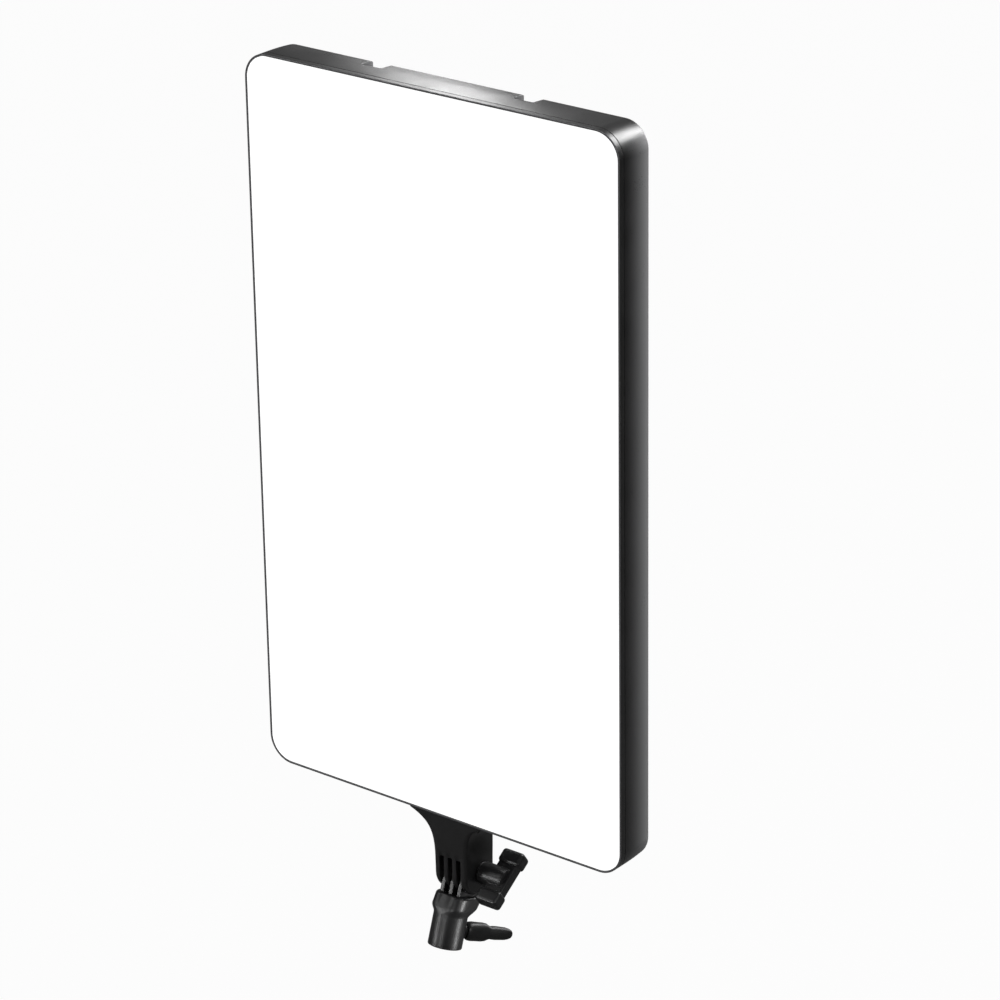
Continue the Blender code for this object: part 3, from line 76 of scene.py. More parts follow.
def box(name):
    """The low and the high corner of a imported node, in millimetres."""
    return [Vector(corner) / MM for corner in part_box(name)]


def shift(x, y, z):
    return Matrix.Translation((x, y, z))


def axes(origin, across, out):
    """Matrix of a frame with its X along across and its Z along out."""
    out = Vector(out).normalized()
    across = Vector(across).normalized()
    turn = Matrix((across, out.cross(across), out)).transposed().to_4x4()
    return Matrix.Translation(origin) @ turn


PIVOT = Vector(joints["panel_tilt"]["pos_m"]) / MM
TILT = Matrix.Translation(PIVOT)
SOCKET_UP = -Vector(mounts["spigot_seat"]["axis"]).normalized()
SOCKET = axes(Vector(mounts["spigot_seat"]["pos_m"]) / MM, (1, 0, 0), SOCKET_UP)
PIVOT_IN_SOCKET = SOCKET.inverted() @ PIVOT
LOCK = axes(Vector(joints["lock_screw_turn"]["pos_m"]) / MM, -SOCKET_UP, joints["lock_screw_turn"]["axis"])
BAR_RISE = math.radians(35)
KNOB = axes(PIVOT, (0, -math.cos(BAR_RISE), -math.sin(BAR_RISE)), (1, 0, 0))

bezel_low, bezel_high = box("front_bezel")
FACE_Y = bezel_low.y
PANEL_WIDTH = bezel_high.x - bezel_low.x
PANEL_HEIGHT = bezel_high.z - bezel_low.z
PANEL_DEPTH = box("rear_housing")[1].y - FACE_Y
BEZEL_DEPTH = 4.5
HOUSING_FRONT = box("rear_housing")[0].y - FACE_Y
PANEL = Matrix.Translation(((bezel_low.x + bezel_high.x) / 2, FACE_Y, (bezel_low.z + bezel_high.z) / 2))

# On the panel a place is (across, up, depth behind the lit face)
REAR = PANEL @ Matrix(((1, 0, 0, 0), (0, 0, 1, 0), (0, 1, 0, 0), (0, 0, 0, 1)))
CONTROL_UP = (box("control_panel")[0].z + box("control_panel")[1].z) / 2 - PANEL.translation.z

PANEL_BODY = "light_panel"


def on_panel(across, up, depth=0.0):
    return REAR @ shift(across, up, depth)


def on_control(across=0.0, up=0.0, depth=0.0):
    return on_panel(across, CONTROL_UP + up, depth)


def four_ways(place, on):
    """The place and its mirror images across both middle lines."""
    return [on(side_x * place[0], side_z * place[1]) for side_x in (-1, 1) for side_z in (-1, 1)]


# ---------------------------------------------------------------- mesh tools

TINY = 1e-4


def arc(centre, radius, start, end, steps):
    """Points along an arc, angles in degrees."""
    angles = [math.radians(start + (end - start) * step / steps) for step in range(steps + 1)]
    return [(centre[0] + radius * math.cos(a), centre[1] + radius * math.sin(a)) for a in angles]


def quarter(steps):
    """Steps through a quarter turn, each as (1 - sine, 1 - cosine)."""
    turns = [math.pi / 2 * step / steps for step in range(steps + 1)]
    return [(1 - math.sin(turn), 1 - math.cos(turn)) for turn in turns]


def rounded_rectangle(width, height, radius, steps=8):
    """Outline of a rectangle with rounded corners, centred, counter-clockwise."""
    points = []
    for number, (side_x, side_y) in enumerate(((1, 1), (-1, 1), (-1, -1), (1, -1))):
        centre = (side_x * (width / 2 - radius), side_y * (height / 2 - radius))
        points += arc(centre, radius, number * 90, number * 90 + 90, steps)
    return points


def squircle(half_x, half_y, power, count=64):
    """A superellipse outline: power 2 is an ellipse, a high power nearly a rectangle."""
    points = []
    for x, y, _ in circle(1, 0, count):
        points.append((math.copysign(abs(x) ** (2 / power), x) * half_x,
                       math.copysign(abs(y) ** (2 / power), y) * half_y))
    return points


def ring(outline, height):
    return [(x, y, height) for x, y in outline]


def circle(radius, height, sides):
    turns = [2 * math.pi * index / sides for index in range(sides)]
    return [(radius * math.cos(turn), radius * math.sin(turn), height) for turn in turns]


def placed(shape, matrix):
    """The shape moved by the matrix, with its faces turned outwards."""
    if matrix is not None:
        shape.transform(matrix)
    bmesh.ops.recalc_face_normals(shape, faces=shape.faces)
    return shape


def loft(rings, matrix=None, hollow=False):
    """A solid through rings of points; one point makes a tip, and hollow joins the last ring to the first."""
    shape = bmesh.new()
    loops = [[shape.verts.new(point) for point in points] for points in rings]
    for lower, upper in zip(loops, loops[1:] + (loops[:1] if hollow else [])):
        count = max(len(lower), len(upper))
        for here, after in zip(range(count), [*range(1, count), 0]):
            corners = (lower[here % len(lower)], lower[after % len(lower)],
                       upper[after % len(upper)], upper[here % len(upper)])
            shape.faces.new(dict.fromkeys(corners))
    for loop in (loops[0], loops[-1]):
        if len(loop) > 1 and not hollow:
            shape.faces.new(loop)
    return placed(shape, matrix)


def lathe(profile, matrix=None, sides=48, hollow=False):
    """A solid of revolution about Z; the profile lists (radius, height)."""
    return loft([circle(radius, height, sides) if radius > TINY else [(0, 0, height)]
                 for radius, height in profile], matrix, hollow)


def rod(radius, start, end, matrix=None, sides=32, edge=0.0):
    """A solid cylinder along Z, its end edges rounded."""
    if not edge:
        return lathe([(radius, start), (radius, end)], matrix, sides)
    corner = radius - edge
    return lathe(arc((corner, start + edge), edge, -90, 0, 3) + arc((corner, end - edge), edge, 0, 90, 3),
                 matrix, sides)


def rods(places, radius, start, end, sides=20, edge=0.0):
    return [rod(radius, start, end, place, sides, edge) for place in places]


def block(size, matrix=None, radius=0.0, segments=3):
    """A box about the origin, its edges rounded."""
    shape = bmesh.new()
    bmesh.ops.create_cube(shape, size=1)
    bmesh.ops.scale(shape, vec=size, verts=shape.verts)
    if radius:
        bmesh.ops.bevel(shape, geom=shape.edges[:], offset=radius, segments=segments, affect="EDGES",
                        profile=0.5)
    return placed(shape, matrix)


def prism(outline, start, end, matrix=None, edge=0.0):
    """An outline in (x, y) run along Z; an edge rounds its ends, by insetting a convex outline."""
    if not edge:
        return loft([ring(outline, start), ring(outline, end)], matrix)
    rings = [inset_ring(outline, edge * along, start + edge * across) for along, across in quarter(2)]
    rings += [inset_ring(outline, edge * across, end - edge * along) for along, across in quarter(2)]
    return loft(rings, matrix)


def inset_ring(outline, amount, height):
    """The outline moved inwards along its own normals."""
    count = len(outline)
    points = []
    for index, (x, y) in enumerate(outline):
        along = Vector(outline[(index + 1) % count]) - Vector(outline[index - 1])
        if along.length < TINY:
            along = Vector(outline[(index + 2) % count]) - Vector(outline[index - 2])
        along.normalize()
        points.append((x - along.y * amount, y + along.x * amount, height))
    return points


def with_settings(thing, **settings):
    """The thing with its settings changed."""
    for key, value in settings.items():
        setattr(thing, key, value)
    return thing


def in_scene(name, data):
    item = bpy.data.objects.new(name, data)
    bpy.context.scene.collection.objects.link(item)
    return item


def as_object(shape, name="work"):
    mesh = bpy.data.meshes.new(name)
    shape.to_mesh(mesh)
    shape.free()
    return in_scene(name, mesh)


def merged(shapes):
    """Several separate shapes as one."""
    whole = shapes[0]
    for other in shapes[1:]:
        spare = bpy.data.meshes.new("spare")
        other.to_mesh(spare)
        other.free()
        whole.from_mesh(spare)
        bpy.data.meshes.remove(spare)
    return whole


def combine(shape, others, operation="DIFFERENCE"):
    """The shape with the others cut away, or joined on."""
    item = as_object(shape)
    group = bpy.data.collections.new("tools")
    bpy.context.scene.collection.children.link(group)
    tools = [as_object(other) for other in others]
    for tool in tools:
        group.objects.link(tool)
    with_settings(item.modifiers.new("combine", "BOOLEAN"), operation=operation, solver="EXACT",
                  operand_type="COLLECTION", collection=group)
    evaluated = item.evaluated_get(bpy.context.evaluated_depsgraph_get())
    result = bmesh.new()
    result.from_mesh(evaluated.to_mesh())
    for tool in tools + [item]:
        mesh = tool.data
        bpy.data.objects.remove(tool, do_unlink=True)
        bpy.data.meshes.remove(mesh)
    bpy.data.collections.remove(group)
    bmesh.ops.remove_doubles(result, verts=result.verts, dist=0.001)
    return result


SHARP_ANGLE = math.radians(35)


def piece(name, shape, finish, body=PANEL_BODY, replaced=None):
    """The shape as a named piece that rides on a body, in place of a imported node."""
    shape.transform(Matrix.Scale(MM, 4))
    item = as_object(shape, name)
    item.data.shade_smooth()
    item.data.set_sharp_from_angle(angle=SHARP_ANGLE)
    item.modifiers.new("flat_shading", "WEIGHTED_NORMAL").keep_sharp = True
    item.data.materials.append(finish)
    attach(item, body)
    if replaced:
        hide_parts(replaced)


def mix_value(first, second, share):
    return first + (second - first) * share


def smooth(share):
    share = min(max(share, 0.0), 1.0)
    return share * share * (3 - 2 * share)


# ---------------------------------------------------------------- finishes

def fill(tree, item, inputs):
    """Set a node's inputs, each to a value or to another node's output."""
    for key, value in inputs.items():
        if isinstance(value, bpy.types.NodeSocket):
            tree.links.new(value, item.inputs[key])
        else:
            item.inputs[key].default_value = value


def node(tree, kind, inputs=None, **settings):
    item = with_settings(tree.nodes.new(kind), **settings)
    fill(tree, item, inputs or {})
    return item


def maths(tree, operation, first, second=0.0, clamp=False):
    inputs = {0: first, 1: second}
    return node(tree, "ShaderNodeMath", inputs, operation=operation, use_clamp=clamp).outputs[0]


def vector_maths(tree, operation, first, second, output="Vector"):
    return node(tree, "ShaderNodeVectorMath", {0: first, 1: second}, operation=operation).outputs[output]


def spread(tree, value, low, high, to_low=0.0, to_high=1.0):
    """The value mapped from low..high to to_low..to_high, and held there."""
    return node(tree, "ShaderNodeMapRange", {"Value": value, "From Min": low, "From Max": high,
                                             "To Min": to_low, "To Max": to_high}).outputs["Result"]


def mixed(tree, share, *colours):
    """Two colours mixed by a share."""
    first, second = [(*colour, 1) if isinstance(colour, tuple) else colour for colour in colours]
    return node(tree, "ShaderNodeMix", {0: share, 6: first, 7: second}, data_type="RGBA").outputs[2]


def noise(tree, place, scale, detail=3.0, stretch=None):
    """Noise on object coordinates in metres; scale is in cells per metre."""
    if stretch:
        place = vector_maths(tree, "MULTIPLY", place, stretch)
    inputs = {"Vector": place, "Scale": scale, "Detail": detail}
    return node(tree, "ShaderNodeTexNoise", inputs).outputs["Fac"]


def part(tree, vector, axis):
    return node(tree, "ShaderNodeSeparateXYZ", {"Vector": vector}).outputs[axis]


def blank(name):
    """A new finish: its material, its tree, its shader and the place on the object, in metres."""
    finish = bpy.data.materials.new(name)
    finish.use_nodes = True
    tree = finish.node_tree
    return finish, tree, tree.nodes["Principled BSDF"], node(tree, "ShaderNodeTexCoord").outputs["Object"]


EDGE_RADIUS = 0.45
MOTTLE = 38


def worn_edge(tree, place):
    """A rounded normal, and a mask that is high on edges, broken up by noise."""
    rounded = node(tree, "ShaderNodeBevel", {"Radius": EDGE_RADIUS * MM}, samples=4).outputs["Normal"]
    flat = node(tree, "ShaderNodeNewGeometry").outputs["Normal"]
    agree = vector_maths(tree, "DOT_PRODUCT", rounded, flat, "Value")
    edge = spread(tree, agree, 0.985, 0.8)
    broken = spread(tree, noise(tree, place, 260, 4), 0.42, 0.62, 0.25, 1.0)
    return rounded, maths(tree, "MULTIPLY", edge, broken)


def surface(name, dark, light, roughness, grain=1400, depth=0.02, wear=None, wear_share=0.5, metallic=0.0,
            stretch=None, coat=0.0, extra=None):
    """A solid finish: mottled colour, fine grain in the bump and the roughness, and worn edges."""
    finish, tree, shader, place = blank(name)
    broad = noise(tree, place, MOTTLE, 4)
    fine = noise(tree, place, grain, 3, stretch)
    colour = mixed(tree, spread(tree, broad, 0.35, 0.65), dark, light)
    rounded, worn = worn_edge(tree, place)
    if extra:
        colour = extra(tree, place, colour)
    if wear:
        colour = mixed(tree, maths(tree, "MULTIPLY", worn, wear_share), colour, wear)
    rough = spread(tree, fine, 0.3, 0.7, roughness * 0.86, min(roughness * 1.14, 1.0))
    rough = maths(tree, "ADD", rough, spread(tree, broad, 0.3, 0.7, -0.04, 0.04))
    rough = maths(tree, "SUBTRACT", rough, maths(tree, "MULTIPLY", worn, 0.08), clamp=True)
    bump = node(tree, "ShaderNodeBump", {"Strength": 0.6, "Distance": depth * MM, "Height": fine,
                                         "Normal": rounded}).outputs["Normal"]
    fill(tree, shader, {"Base Color": colour, "Roughness": rough, "Normal": bump, "Metallic": metallic,
                        "IOR": 1.5, "Coat Weight": coat})
    return finish


def grey(level):
    return (level, level, level * 1.04)


BRUSHED = (0.04, 1, 1)

black_plastic = surface("black_plastic", grey(0.0045), grey(0.008), 0.4, 1500, 0.03, grey(0.03))
satin_black = surface("satin_black", grey(0.004), grey(0.007), 0.36, 1900, 0.012, grey(0.035), 0.4)
soft_black = surface("soft_black", grey(0.006), grey(0.011), 0.62, 1700, 0.05, grey(0.03), 0.4)
rubber = surface("rubber", grey(0.012), grey(0.02), 0.75, 1200, 0.05, grey(0.05))
foam_tape = surface("foam_tape", grey(0.02), grey(0.035), 0.9, 2600, 0.1)
white_film = surface("white_film", (0.86, 0.86, 0.84), (0.93, 0.93, 0.91), 0.55, 900, 0.01)
aluminium = surface("aluminium", (0.7, 0.71, 0.72), (0.8, 0.8, 0.81), 0.34, 1500, 0.01, (0.9, 0.9, 0.9),
                    metallic=1.0, stretch=BRUSHED)
steel = surface("steel", (0.5, 0.5, 0.51), (0.62, 0.62, 0.63), 0.28, 1800, 0.008, (0.8, 0.8, 0.8),
                metallic=1.0, stretch=BRUSHED)
black_steel = surface("black_steel", grey(0.012), grey(0.03), 0.36, 1800, 0.015, (0.2, 0.2, 0.2), 0.6, 0.6)
brass = surface("brass", (0.62, 0.42, 0.16), (0.76, 0.56, 0.25), 0.3, 1800, 0.01, (0.9, 0.75, 0.4),
                metallic=1.0)
copper = surface("copper", (0.5, 0.2, 0.08), (0.66, 0.3, 0.13), 0.36, 1200, 0.05, metallic=1.0,
                 stretch=(1, 0.05, 1))
connector_white = surface("connector_white", (0.76, 0.74, 0.66), (0.86, 0.84, 0.78), 0.45)
capacitor_sleeve = surface("capacitor_sleeve", (0.012, 0.012, 0.04), (0.02, 0.02, 0.06), 0.35)
red_wire = surface("red_wire", (0.4, 0.012, 0.012), (0.55, 0.03, 0.025), 0.45)
black_wire = surface("black_wire", grey(0.012), grey(0.022), 0.45)
print_white = surface("print_white", (0.55, 0.55, 0.55), (0.68, 0.68, 0.68), 0.6, 2200, 0.01)


def board_tint(tree, place, colour):
    """Copper traces under the board's green lacquer."""
    lines = node(tree, "ShaderNodeTexVoronoi", {"Vector": place, "Scale": 170}, feature="DISTANCE_TO_EDGE",
                 distance="MANHATTAN").outputs["Distance"]
    return mixed(tree, spread(tree, lines, 0.02, 0.05, 0.6, 0.0), colour, (0.05, 0.3, 0.12))


def strip_tint(tree, place, colour):
    """Yellow phosphor on the light packages, which stand in front of their white board."""
    board_front = box("led_strip_1")[1].y - 1.05
    on_package = spread(tree, part(tree, place, "Y"), (board_front - 0.02) * MM, board_front * MM, 1.0, 0.0)
    return mixed(tree, on_package, colour, (0.8, 0.6, 0.12))


def painted_side_sheen(tree, place, colour):
    """Painted sheen: the cover's sides go from near black at the front to a greyer black at the rear edge, colour
    that stands in for light reflected there.
    """
    normal = node(tree, "ShaderNodeNewGeometry").outputs["True Normal"]
    normal = node(tree, "ShaderNodeVectorTransform", {"Vector": normal}, vector_type="NORMAL",
                  convert_from="WORLD", convert_to="OBJECT").outputs["Vector"]
    on_side = spread(tree, maths(tree, "ABSOLUTE", part(tree, normal, "X")), 0.6, 0.95)
    along = spread(tree, part(tree, place, "Y"), (FACE_Y + HOUSING_FRONT) * MM, (FACE_Y + PANEL_DEPTH) * MM)
    # the painted sheen grows towards the rear edge and shows only on the sides
    share = maths(tree, "MULTIPLY", maths(tree, "POWER", along, 1.8), on_side)
    return mixed(tree, share, colour, (0.3, 0.3, 0.306))


def painted_rim_glow(tree, place, colour):
    """Painted light: the frame's narrow front rim is mixed to grey, as if lit by the glowing sheet it surrounds.
    """
    on_rim = spread(tree, part(tree, place, "Y"), (FACE_Y + 0.15) * MM, (FACE_Y + 0.4) * MM, 1.0, 0.0)
    return mixed(tree, on_rim, colour, grey(0.2))


green_board = surface("green_board", (0.012, 0.1, 0.045), (0.02, 0.15, 0.06), 0.35, 1200, coat=0.4,
                      extra=board_tint)
led_board = surface("led_board", (0.78, 0.78, 0.75), (0.88, 0.88, 0.86), 0.4, extra=strip_tint)
# The cover's sides carry a painted sheen, lighter grey towards the rear edge
cover_black = surface("cover_black", grey(0.0045), grey(0.008), 0.34, 1500, 0.02, grey(0.04), 0.4,
                      extra=painted_side_sheen)
# The frame's front rim carries painted light from the glowing sheet
rim_black = surface("rim_black", grey(0.004), grey(0.007), 0.36, 1900, 0.012, grey(0.035), 0.4,
                    extra=painted_rim_glow)

OPAL_GLOW = 1.6
OPAL_BORDER = 0.9


def opal_sheet_finish():
    """Lit opal acrylic: an even white glow, a little weaker at its border."""
    finish, tree, shader, place = blank("opal")
    centre = PANEL.translation
    borders = []
    for axis, middle, half in (("X", centre.x, PANEL_WIDTH / 2), ("Z", centre.z, PANEL_HEIGHT / 2)):
        away = maths(tree, "ABSOLUTE", maths(tree, "SUBTRACT", part(tree, place, axis), middle * MM))
        borders.append(maths(tree, "SUBTRACT", half * MM, away))
    glow = spread(tree, maths(tree, "MINIMUM", *borders), 1 * MM, 14 * MM, OPAL_BORDER, OPAL_GLOW)
    cloud = spread(tree, noise(tree, place, 12, 2), 0.3, 0.7, 0.985, 1.015)
    frost = noise(tree, place, 2600, 2)
    bump = node(tree, "ShaderNodeBump", {"Strength": 0.3, "Distance": 0.01 * MM, "Height": frost}).outputs[0]
    fill(tree, shader, {"Emission Strength": maths(tree, "MULTIPLY", glow, cloud),
                        "Roughness": spread(tree, frost, 0.3, 0.7, 0.3, 0.42), "Normal": bump,
                        "Emission Color": (1, 1, 1, 1), "Base Color": (0.9, 0.9, 0.9, 1)})
    return finish


def smoked_finish():
    """Dark red acrylic, glossy and a little see-through."""
    finish, tree, shader, place = blank("smoked_window")
    rounded, worn = worn_edge(tree, place)
    fill(tree, shader, {"Base Color": mixed(tree, worn, (0.012, 0.002, 0.003), (0.09, 0.03, 0.03)),
                        "Roughness": spread(tree, noise(tree, place, 300, 4), 0.3, 0.7, 0.05, 0.13),
                        "Normal": rounded, "Alpha": 0.55})
    return finish


def digit_finish():
    """Glowing red of the display's figures."""
    finish, tree, shader, place = blank("digit_glow")
    fill(tree, shader, {"Emission Strength": spread(tree, noise(tree, place, 900, 2), 0.3, 0.7, 3.2, 4.0),
                        "Emission Color": (1.0, 0.03, 0.02, 1), "Base Color": (0.4, 0.01, 0.01, 1)})
    return finish


opal = opal_sheet_finish()
smoked_window = smoked_finish()
digit_glow = digit_finish()

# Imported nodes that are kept, by finish, with how far their edges are rounded in millimetres
CAD_FINISHES = (
    (foam_tape, {"diffuser_tape": 0}),
    (aluminium, {"led_plate": 0.2}),
    (led_board, {f"led_strip_{number}": 0 for number in range(1, 7)}),
    (white_film, {"reflector_frame": 0}),
    (steel, {"plate_screw_1": 0, "plate_screw_2": 0, "brightness_encoder": 0.25, "colour_encoder": 0.25,
             "brightness_shaft": 0, "colour_shaft": 0, "neck_plate": 0.3, "lock_stud": 0}),
    (black_steel, {"neck_screw_1": 0.25, "neck_screw_2": 0.25, "tilt_washer": 0.2, "lock_insert": 0.15}),
    (green_board, {"driver_board": 0.15}),
    (rubber, {"display_module": 0.3}),
    (smoked_window, {"display_window": 0.2}),
    (capacitor_sleeve, {"capacitor": 0.2}),
    (copper, {"choke": 0.4}),
    (connector_white, {"output_connector": 0.3}),
    (red_wire, {"harness_positive": 0}),
    (black_wire, {"harness_negative": 0}),
    (brass, {"tilt_knob_nut": 0.25, "lock_pad": 0.15}),
    (black_plastic, {"power_switch_body": 0.4}),
)


def smoothing_group():
    """Geometry nodes that shade a mesh smooth except across sharp edges."""
    group = bpy.data.node_groups.new("smooth_by_angle", "GeometryNodeTree")
    for direction in ("INPUT", "OUTPUT"):
        group.interface.new_socket("Geometry", in_out=direction, socket_type="NodeSocketGeometry")
    start = node(group, "NodeGroupInput").outputs[0]
    angle = node(group, "GeometryNodeInputMeshEdgeAngle").outputs["Unsigned Angle"]
    blunt = node(group, "FunctionNodeCompare", {0: angle, 1: SHARP_ANGLE}, data_type="FLOAT",
                 operation="LESS_EQUAL").outputs[0]
    faces = node(group, "GeometryNodeSetShadeSmooth", {"Geometry": start}, domain="FACE").outputs[0]
    edges = node(group, "GeometryNodeSetShadeSmooth", {"Geometry": faces, "Shade Smooth": blunt},
                 domain="EDGE").outputs[0]
    node(group, "NodeGroupOutput", {0: edges})
    return group


smoothing = smoothing_group()


def refine_cad(item, finish, edge):
    """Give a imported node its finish, welded and rounded edges and smooth shading, all by modifiers."""
    item.data.materials.clear()
    item.data.materials.append(finish)
    for polygon in item.data.polygons:
        polygon.material_index = 0
    item.modifiers.new("weld", "WELD").merge_threshold = 0.002 * MM
    with_settings(item.modifiers.new("flat_faces", "DECIMATE"), decimate_type="DISSOLVE",
                  angle_limit=math.radians(1))
    if edge:
        with_settings(item.modifiers.new("rounded_edges", "BEVEL"), width=edge * MM, segments=2,
                      limit_method="ANGLE", angle_limit=math.radians(40))
    item.modifiers.new("shading", "NODES").node_group = smoothing


for cad_finish, nodes in CAD_FINISHES:
    for node_name, edge_radius in nodes.items():
        refine_cad(frame["nodes"][node_name], cad_finish, edge_radius)


# ---------------------------------------------------------------- front

CORNER_RADIUS = 18.1
RIM_WIDTH = 1.3
LEDGE_WIDTH = 11.3
LEDGE_THICKNESS = 1.2
DIFFUSER_THICKNESS = 2.4
HOUSING_SCREWS = four_ways((139.5, 150), on_panel) + four_ways((100, 241.5), on_panel)
POST_RADIUS = 3.5
PILOT_RADIUS = 1.65
POST_END = BEZEL_DEPTH + 11


def panel_ring(inset, depth):
    """The panel's outline moved inwards, at a depth behind the lit face."""
    return ring(rounded_rectangle(PANEL_WIDTH - 2 * inset, PANEL_HEIGHT - 2 * inset,
                                  max(CORNER_RADIUS - inset, 2), 24), depth)


def front_edge(inset, depth, radius, steps):
    return [panel_ring(inset + radius * along, depth + radius * across) for along, across in quarter(steps)]


def rear_edge(inset, depth, radius, steps):
    return [panel_ring(inset + radius * across, depth - radius * along) for along, across in quarter(steps)]


def make_front_frame():
    """Frame with a thin rim, a ledge behind the opal sheet, and posts for the housing's screws."""
    body = loft(front_edge(0, 0, 0.5, 5) + rear_edge(0, BEZEL_DEPTH, 0.2, 2), REAR)
    recess = loft([panel_ring(RIM_WIDTH - 0.25, -0.01), panel_ring(RIM_WIDTH, 0.25),
                   panel_ring(RIM_WIDTH, BEZEL_DEPTH - LEDGE_THICKNESS)], REAR)
    ledge = RIM_WIDTH / 2 + LEDGE_WIDTH
    opening = loft([panel_ring(ledge, -1), panel_ring(ledge, BEZEL_DEPTH + 1)], REAR)
    body = combine(body, [recess, opening])
    body = combine(body, rods(HOUSING_SCREWS, POST_RADIUS, BEZEL_DEPTH - 0.6, POST_END, 24, 0.3), "UNION")
    body = combine(body, rods(HOUSING_SCREWS, PILOT_RADIUS, BEZEL_DEPTH + 1, POST_END + 1))
    piece("front_frame", body, rim_black, replaced="front_bezel")


def make_opal_sheet():
    inset = RIM_WIDTH + GAP
    rings = front_edge(inset, GAP, 0.3, 3) + rear_edge(inset, GAP + DIFFUSER_THICKNESS, 0.1, 1)
    piece("opal_sheet", loft(rings, REAR), opal, replaced="diffuser_panel")


# ---------------------------------------------------------------- rear cover

WALL = 2.2
CROWN = 0.8                # how far the sides lean in by the rear edge
REAR_EDGE_RADIUS = 2.5
CHANNEL_X = 60
CHANNEL_HALF = 8
CHANNEL_DEPTH = 12
INNER_BACK = PANEL_DEPTH - WALL
CONTROL_WIDTH = 84
CONTROL_HEIGHT = 110
CONTROL_LEDGE = 4.3
CONTROL_THICKNESS = 2
PANEL_FACE = PANEL_DEPTH - 0.2
COVER_BACK = PANEL_FACE - CONTROL_THICKNESS
PAD_THICKNESS = 2.5
COVER_SCREWS = four_ways((39.9, 52.9), on_control)
PLATE_SCREW_X = CHANNEL_X - 3
NECK_SCREW_X = 22
NECK_HOLE_RADIUS = 2.4
FLANGE_DEPTH_CENTRE = 17
HEAD_RECESS = 3
HEAD_RADIUS = 2.8
VENT_PITCH = 10
VENT_ROWS = 6
VENT_LENGTH = 44
VENT_WIDTH = 3
VENT_X = 103
VENT_UP = 165


def channel_tool(side, margin, fillet, mouth, back):
    """A cutter for one upright channel: rounded floor corners, and a flared mouth."""
    half = CHANNEL_HALF + margin
    floor = PANEL_DEPTH - CHANNEL_DEPTH - margin
    left = [(-half - mouth, back)] + arc((-half - mouth, PANEL_DEPTH - mouth), mouth, 90, 0, 4)
    left += arc((-half + fillet, floor + fillet), fillet, 180, 270, 4)
    right = [(-x, y) for x, y in reversed(left)]
    outline = [(x + side * CHANNEL_X, y) for x, y in left + right]
    reach = PANEL_HEIGHT * 0.6
    return prism(outline, -reach, reach, PANEL)


def cover_solid():
    """The cover's outside, whose sides lean in towards the rolled rear edge."""
    rings = front_edge(0, HOUSING_FRONT, 0.25, 2)
    depth = PANEL_DEPTH - HOUSING_FRONT - REAR_EDGE_RADIUS - 0.5
    for step in range(1, 7):
        along = step / 6
        rings.append(panel_ring(CROWN * along ** 3, HOUSING_FRONT + 0.25 + depth * along))
    return loft(rings + rear_edge(CROWN, PANEL_DEPTH, REAR_EDGE_RADIUS, 6), REAR)


def cover_room():
    """The cover's inside; a pad, screw bosses and the channels' walls are left standing."""
    room = loft([panel_ring(WALL, HOUSING_FRONT - 1), panel_ring(WALL, HOUSING_FRONT + 14),
                 panel_ring(WALL + CROWN, INNER_BACK)], REAR)
    pad = block((CONTROL_WIDTH + 8, CONTROL_HEIGHT + 8, PAD_THICKNESS + 1),
                on_control(0, 0, INNER_BACK - PAD_THICKNESS / 2 + 0.5))
    bosses = rods(HOUSING_SCREWS, POST_RADIUS + 0.5, POST_END + GAP, INNER_BACK + 1)
    walls = [channel_tool(side, WALL, 1, 0.1, PANEL_DEPTH + 5) for side in (-1, 1)]
    return combine(room, [pad] + bosses + walls)


def vent_tool(matrix):
    """A cutter for one vent slot, flared at the cover's face."""
    slot = rounded_rectangle(VENT_LENGTH, VENT_WIDTH, VENT_WIDTH / 2 - 0.02, 5)
    mouth = rounded_rectangle(VENT_LENGTH + 1, VENT_WIDTH + 1, VENT_WIDTH / 2 + 0.4, 5)
    return loft([ring(slot, INNER_BACK - 1), ring(slot, PANEL_DEPTH - 0.4), ring(mouth, PANEL_DEPTH + 0.1)],
                matrix)


def make_rear_cover():
    channels = [channel_tool(side, 0, 1.4, 0.8, PANEL_DEPTH + 3) for side in (-1, 1)]
    body = combine(cover_solid(), [cover_room()] + channels)
    recess = rounded_rectangle(CONTROL_WIDTH + 2 * GAP, CONTROL_HEIGHT + 2 * GAP, 3.3, 6)
    opening = rounded_rectangle(CONTROL_WIDTH - 2 * CONTROL_LEDGE, CONTROL_HEIGHT - 2 * CONTROL_LEDGE, 2, 4)
    tools = [prism(recess, COVER_BACK - GAP, PANEL_DEPTH + 2, on_control()),
             prism(opening, PANEL_DEPTH - 12, PANEL_DEPTH, on_control())]
    head = HEAD_RADIUS + GAP
    for place in HOUSING_SCREWS:
        tools.append(rod(1.8, BEZEL_DEPTH + 8, PANEL_DEPTH + 1, place, 20))
        tools.append(lathe([(head, PANEL_DEPTH - HEAD_RECESS), (head, PANEL_DEPTH - 0.3),
                            (head + 0.5, PANEL_DEPTH + 0.2)], place, 32))
    floor = PANEL_DEPTH - CHANNEL_DEPTH
    for side in (-1, 1):
        tools.append(rod(1.6, floor - WALL - 1, floor + 1, on_panel(side * PLATE_SCREW_X, 0), 16))
        bottom = PANEL @ shift(side * NECK_SCREW_X, FLANGE_DEPTH_CENTRE, -PANEL_HEIGHT / 2)
        tools.append(rod(NECK_HOLE_RADIUS, -1, WALL + 1, bottom, 20))
        for level in (-VENT_UP, VENT_UP):
            for row in range(VENT_ROWS):
                up = level + (row - (VENT_ROWS - 1) / 2) * VENT_PITCH
                tools.append(vent_tool(on_panel(side * VENT_X, up)))
    tools += rods(COVER_SCREWS, 1.2, INNER_BACK - 5, PANEL_DEPTH, 16)
    piece("rear_cover", combine(body, tools), cover_black, replaced="rear_housing")


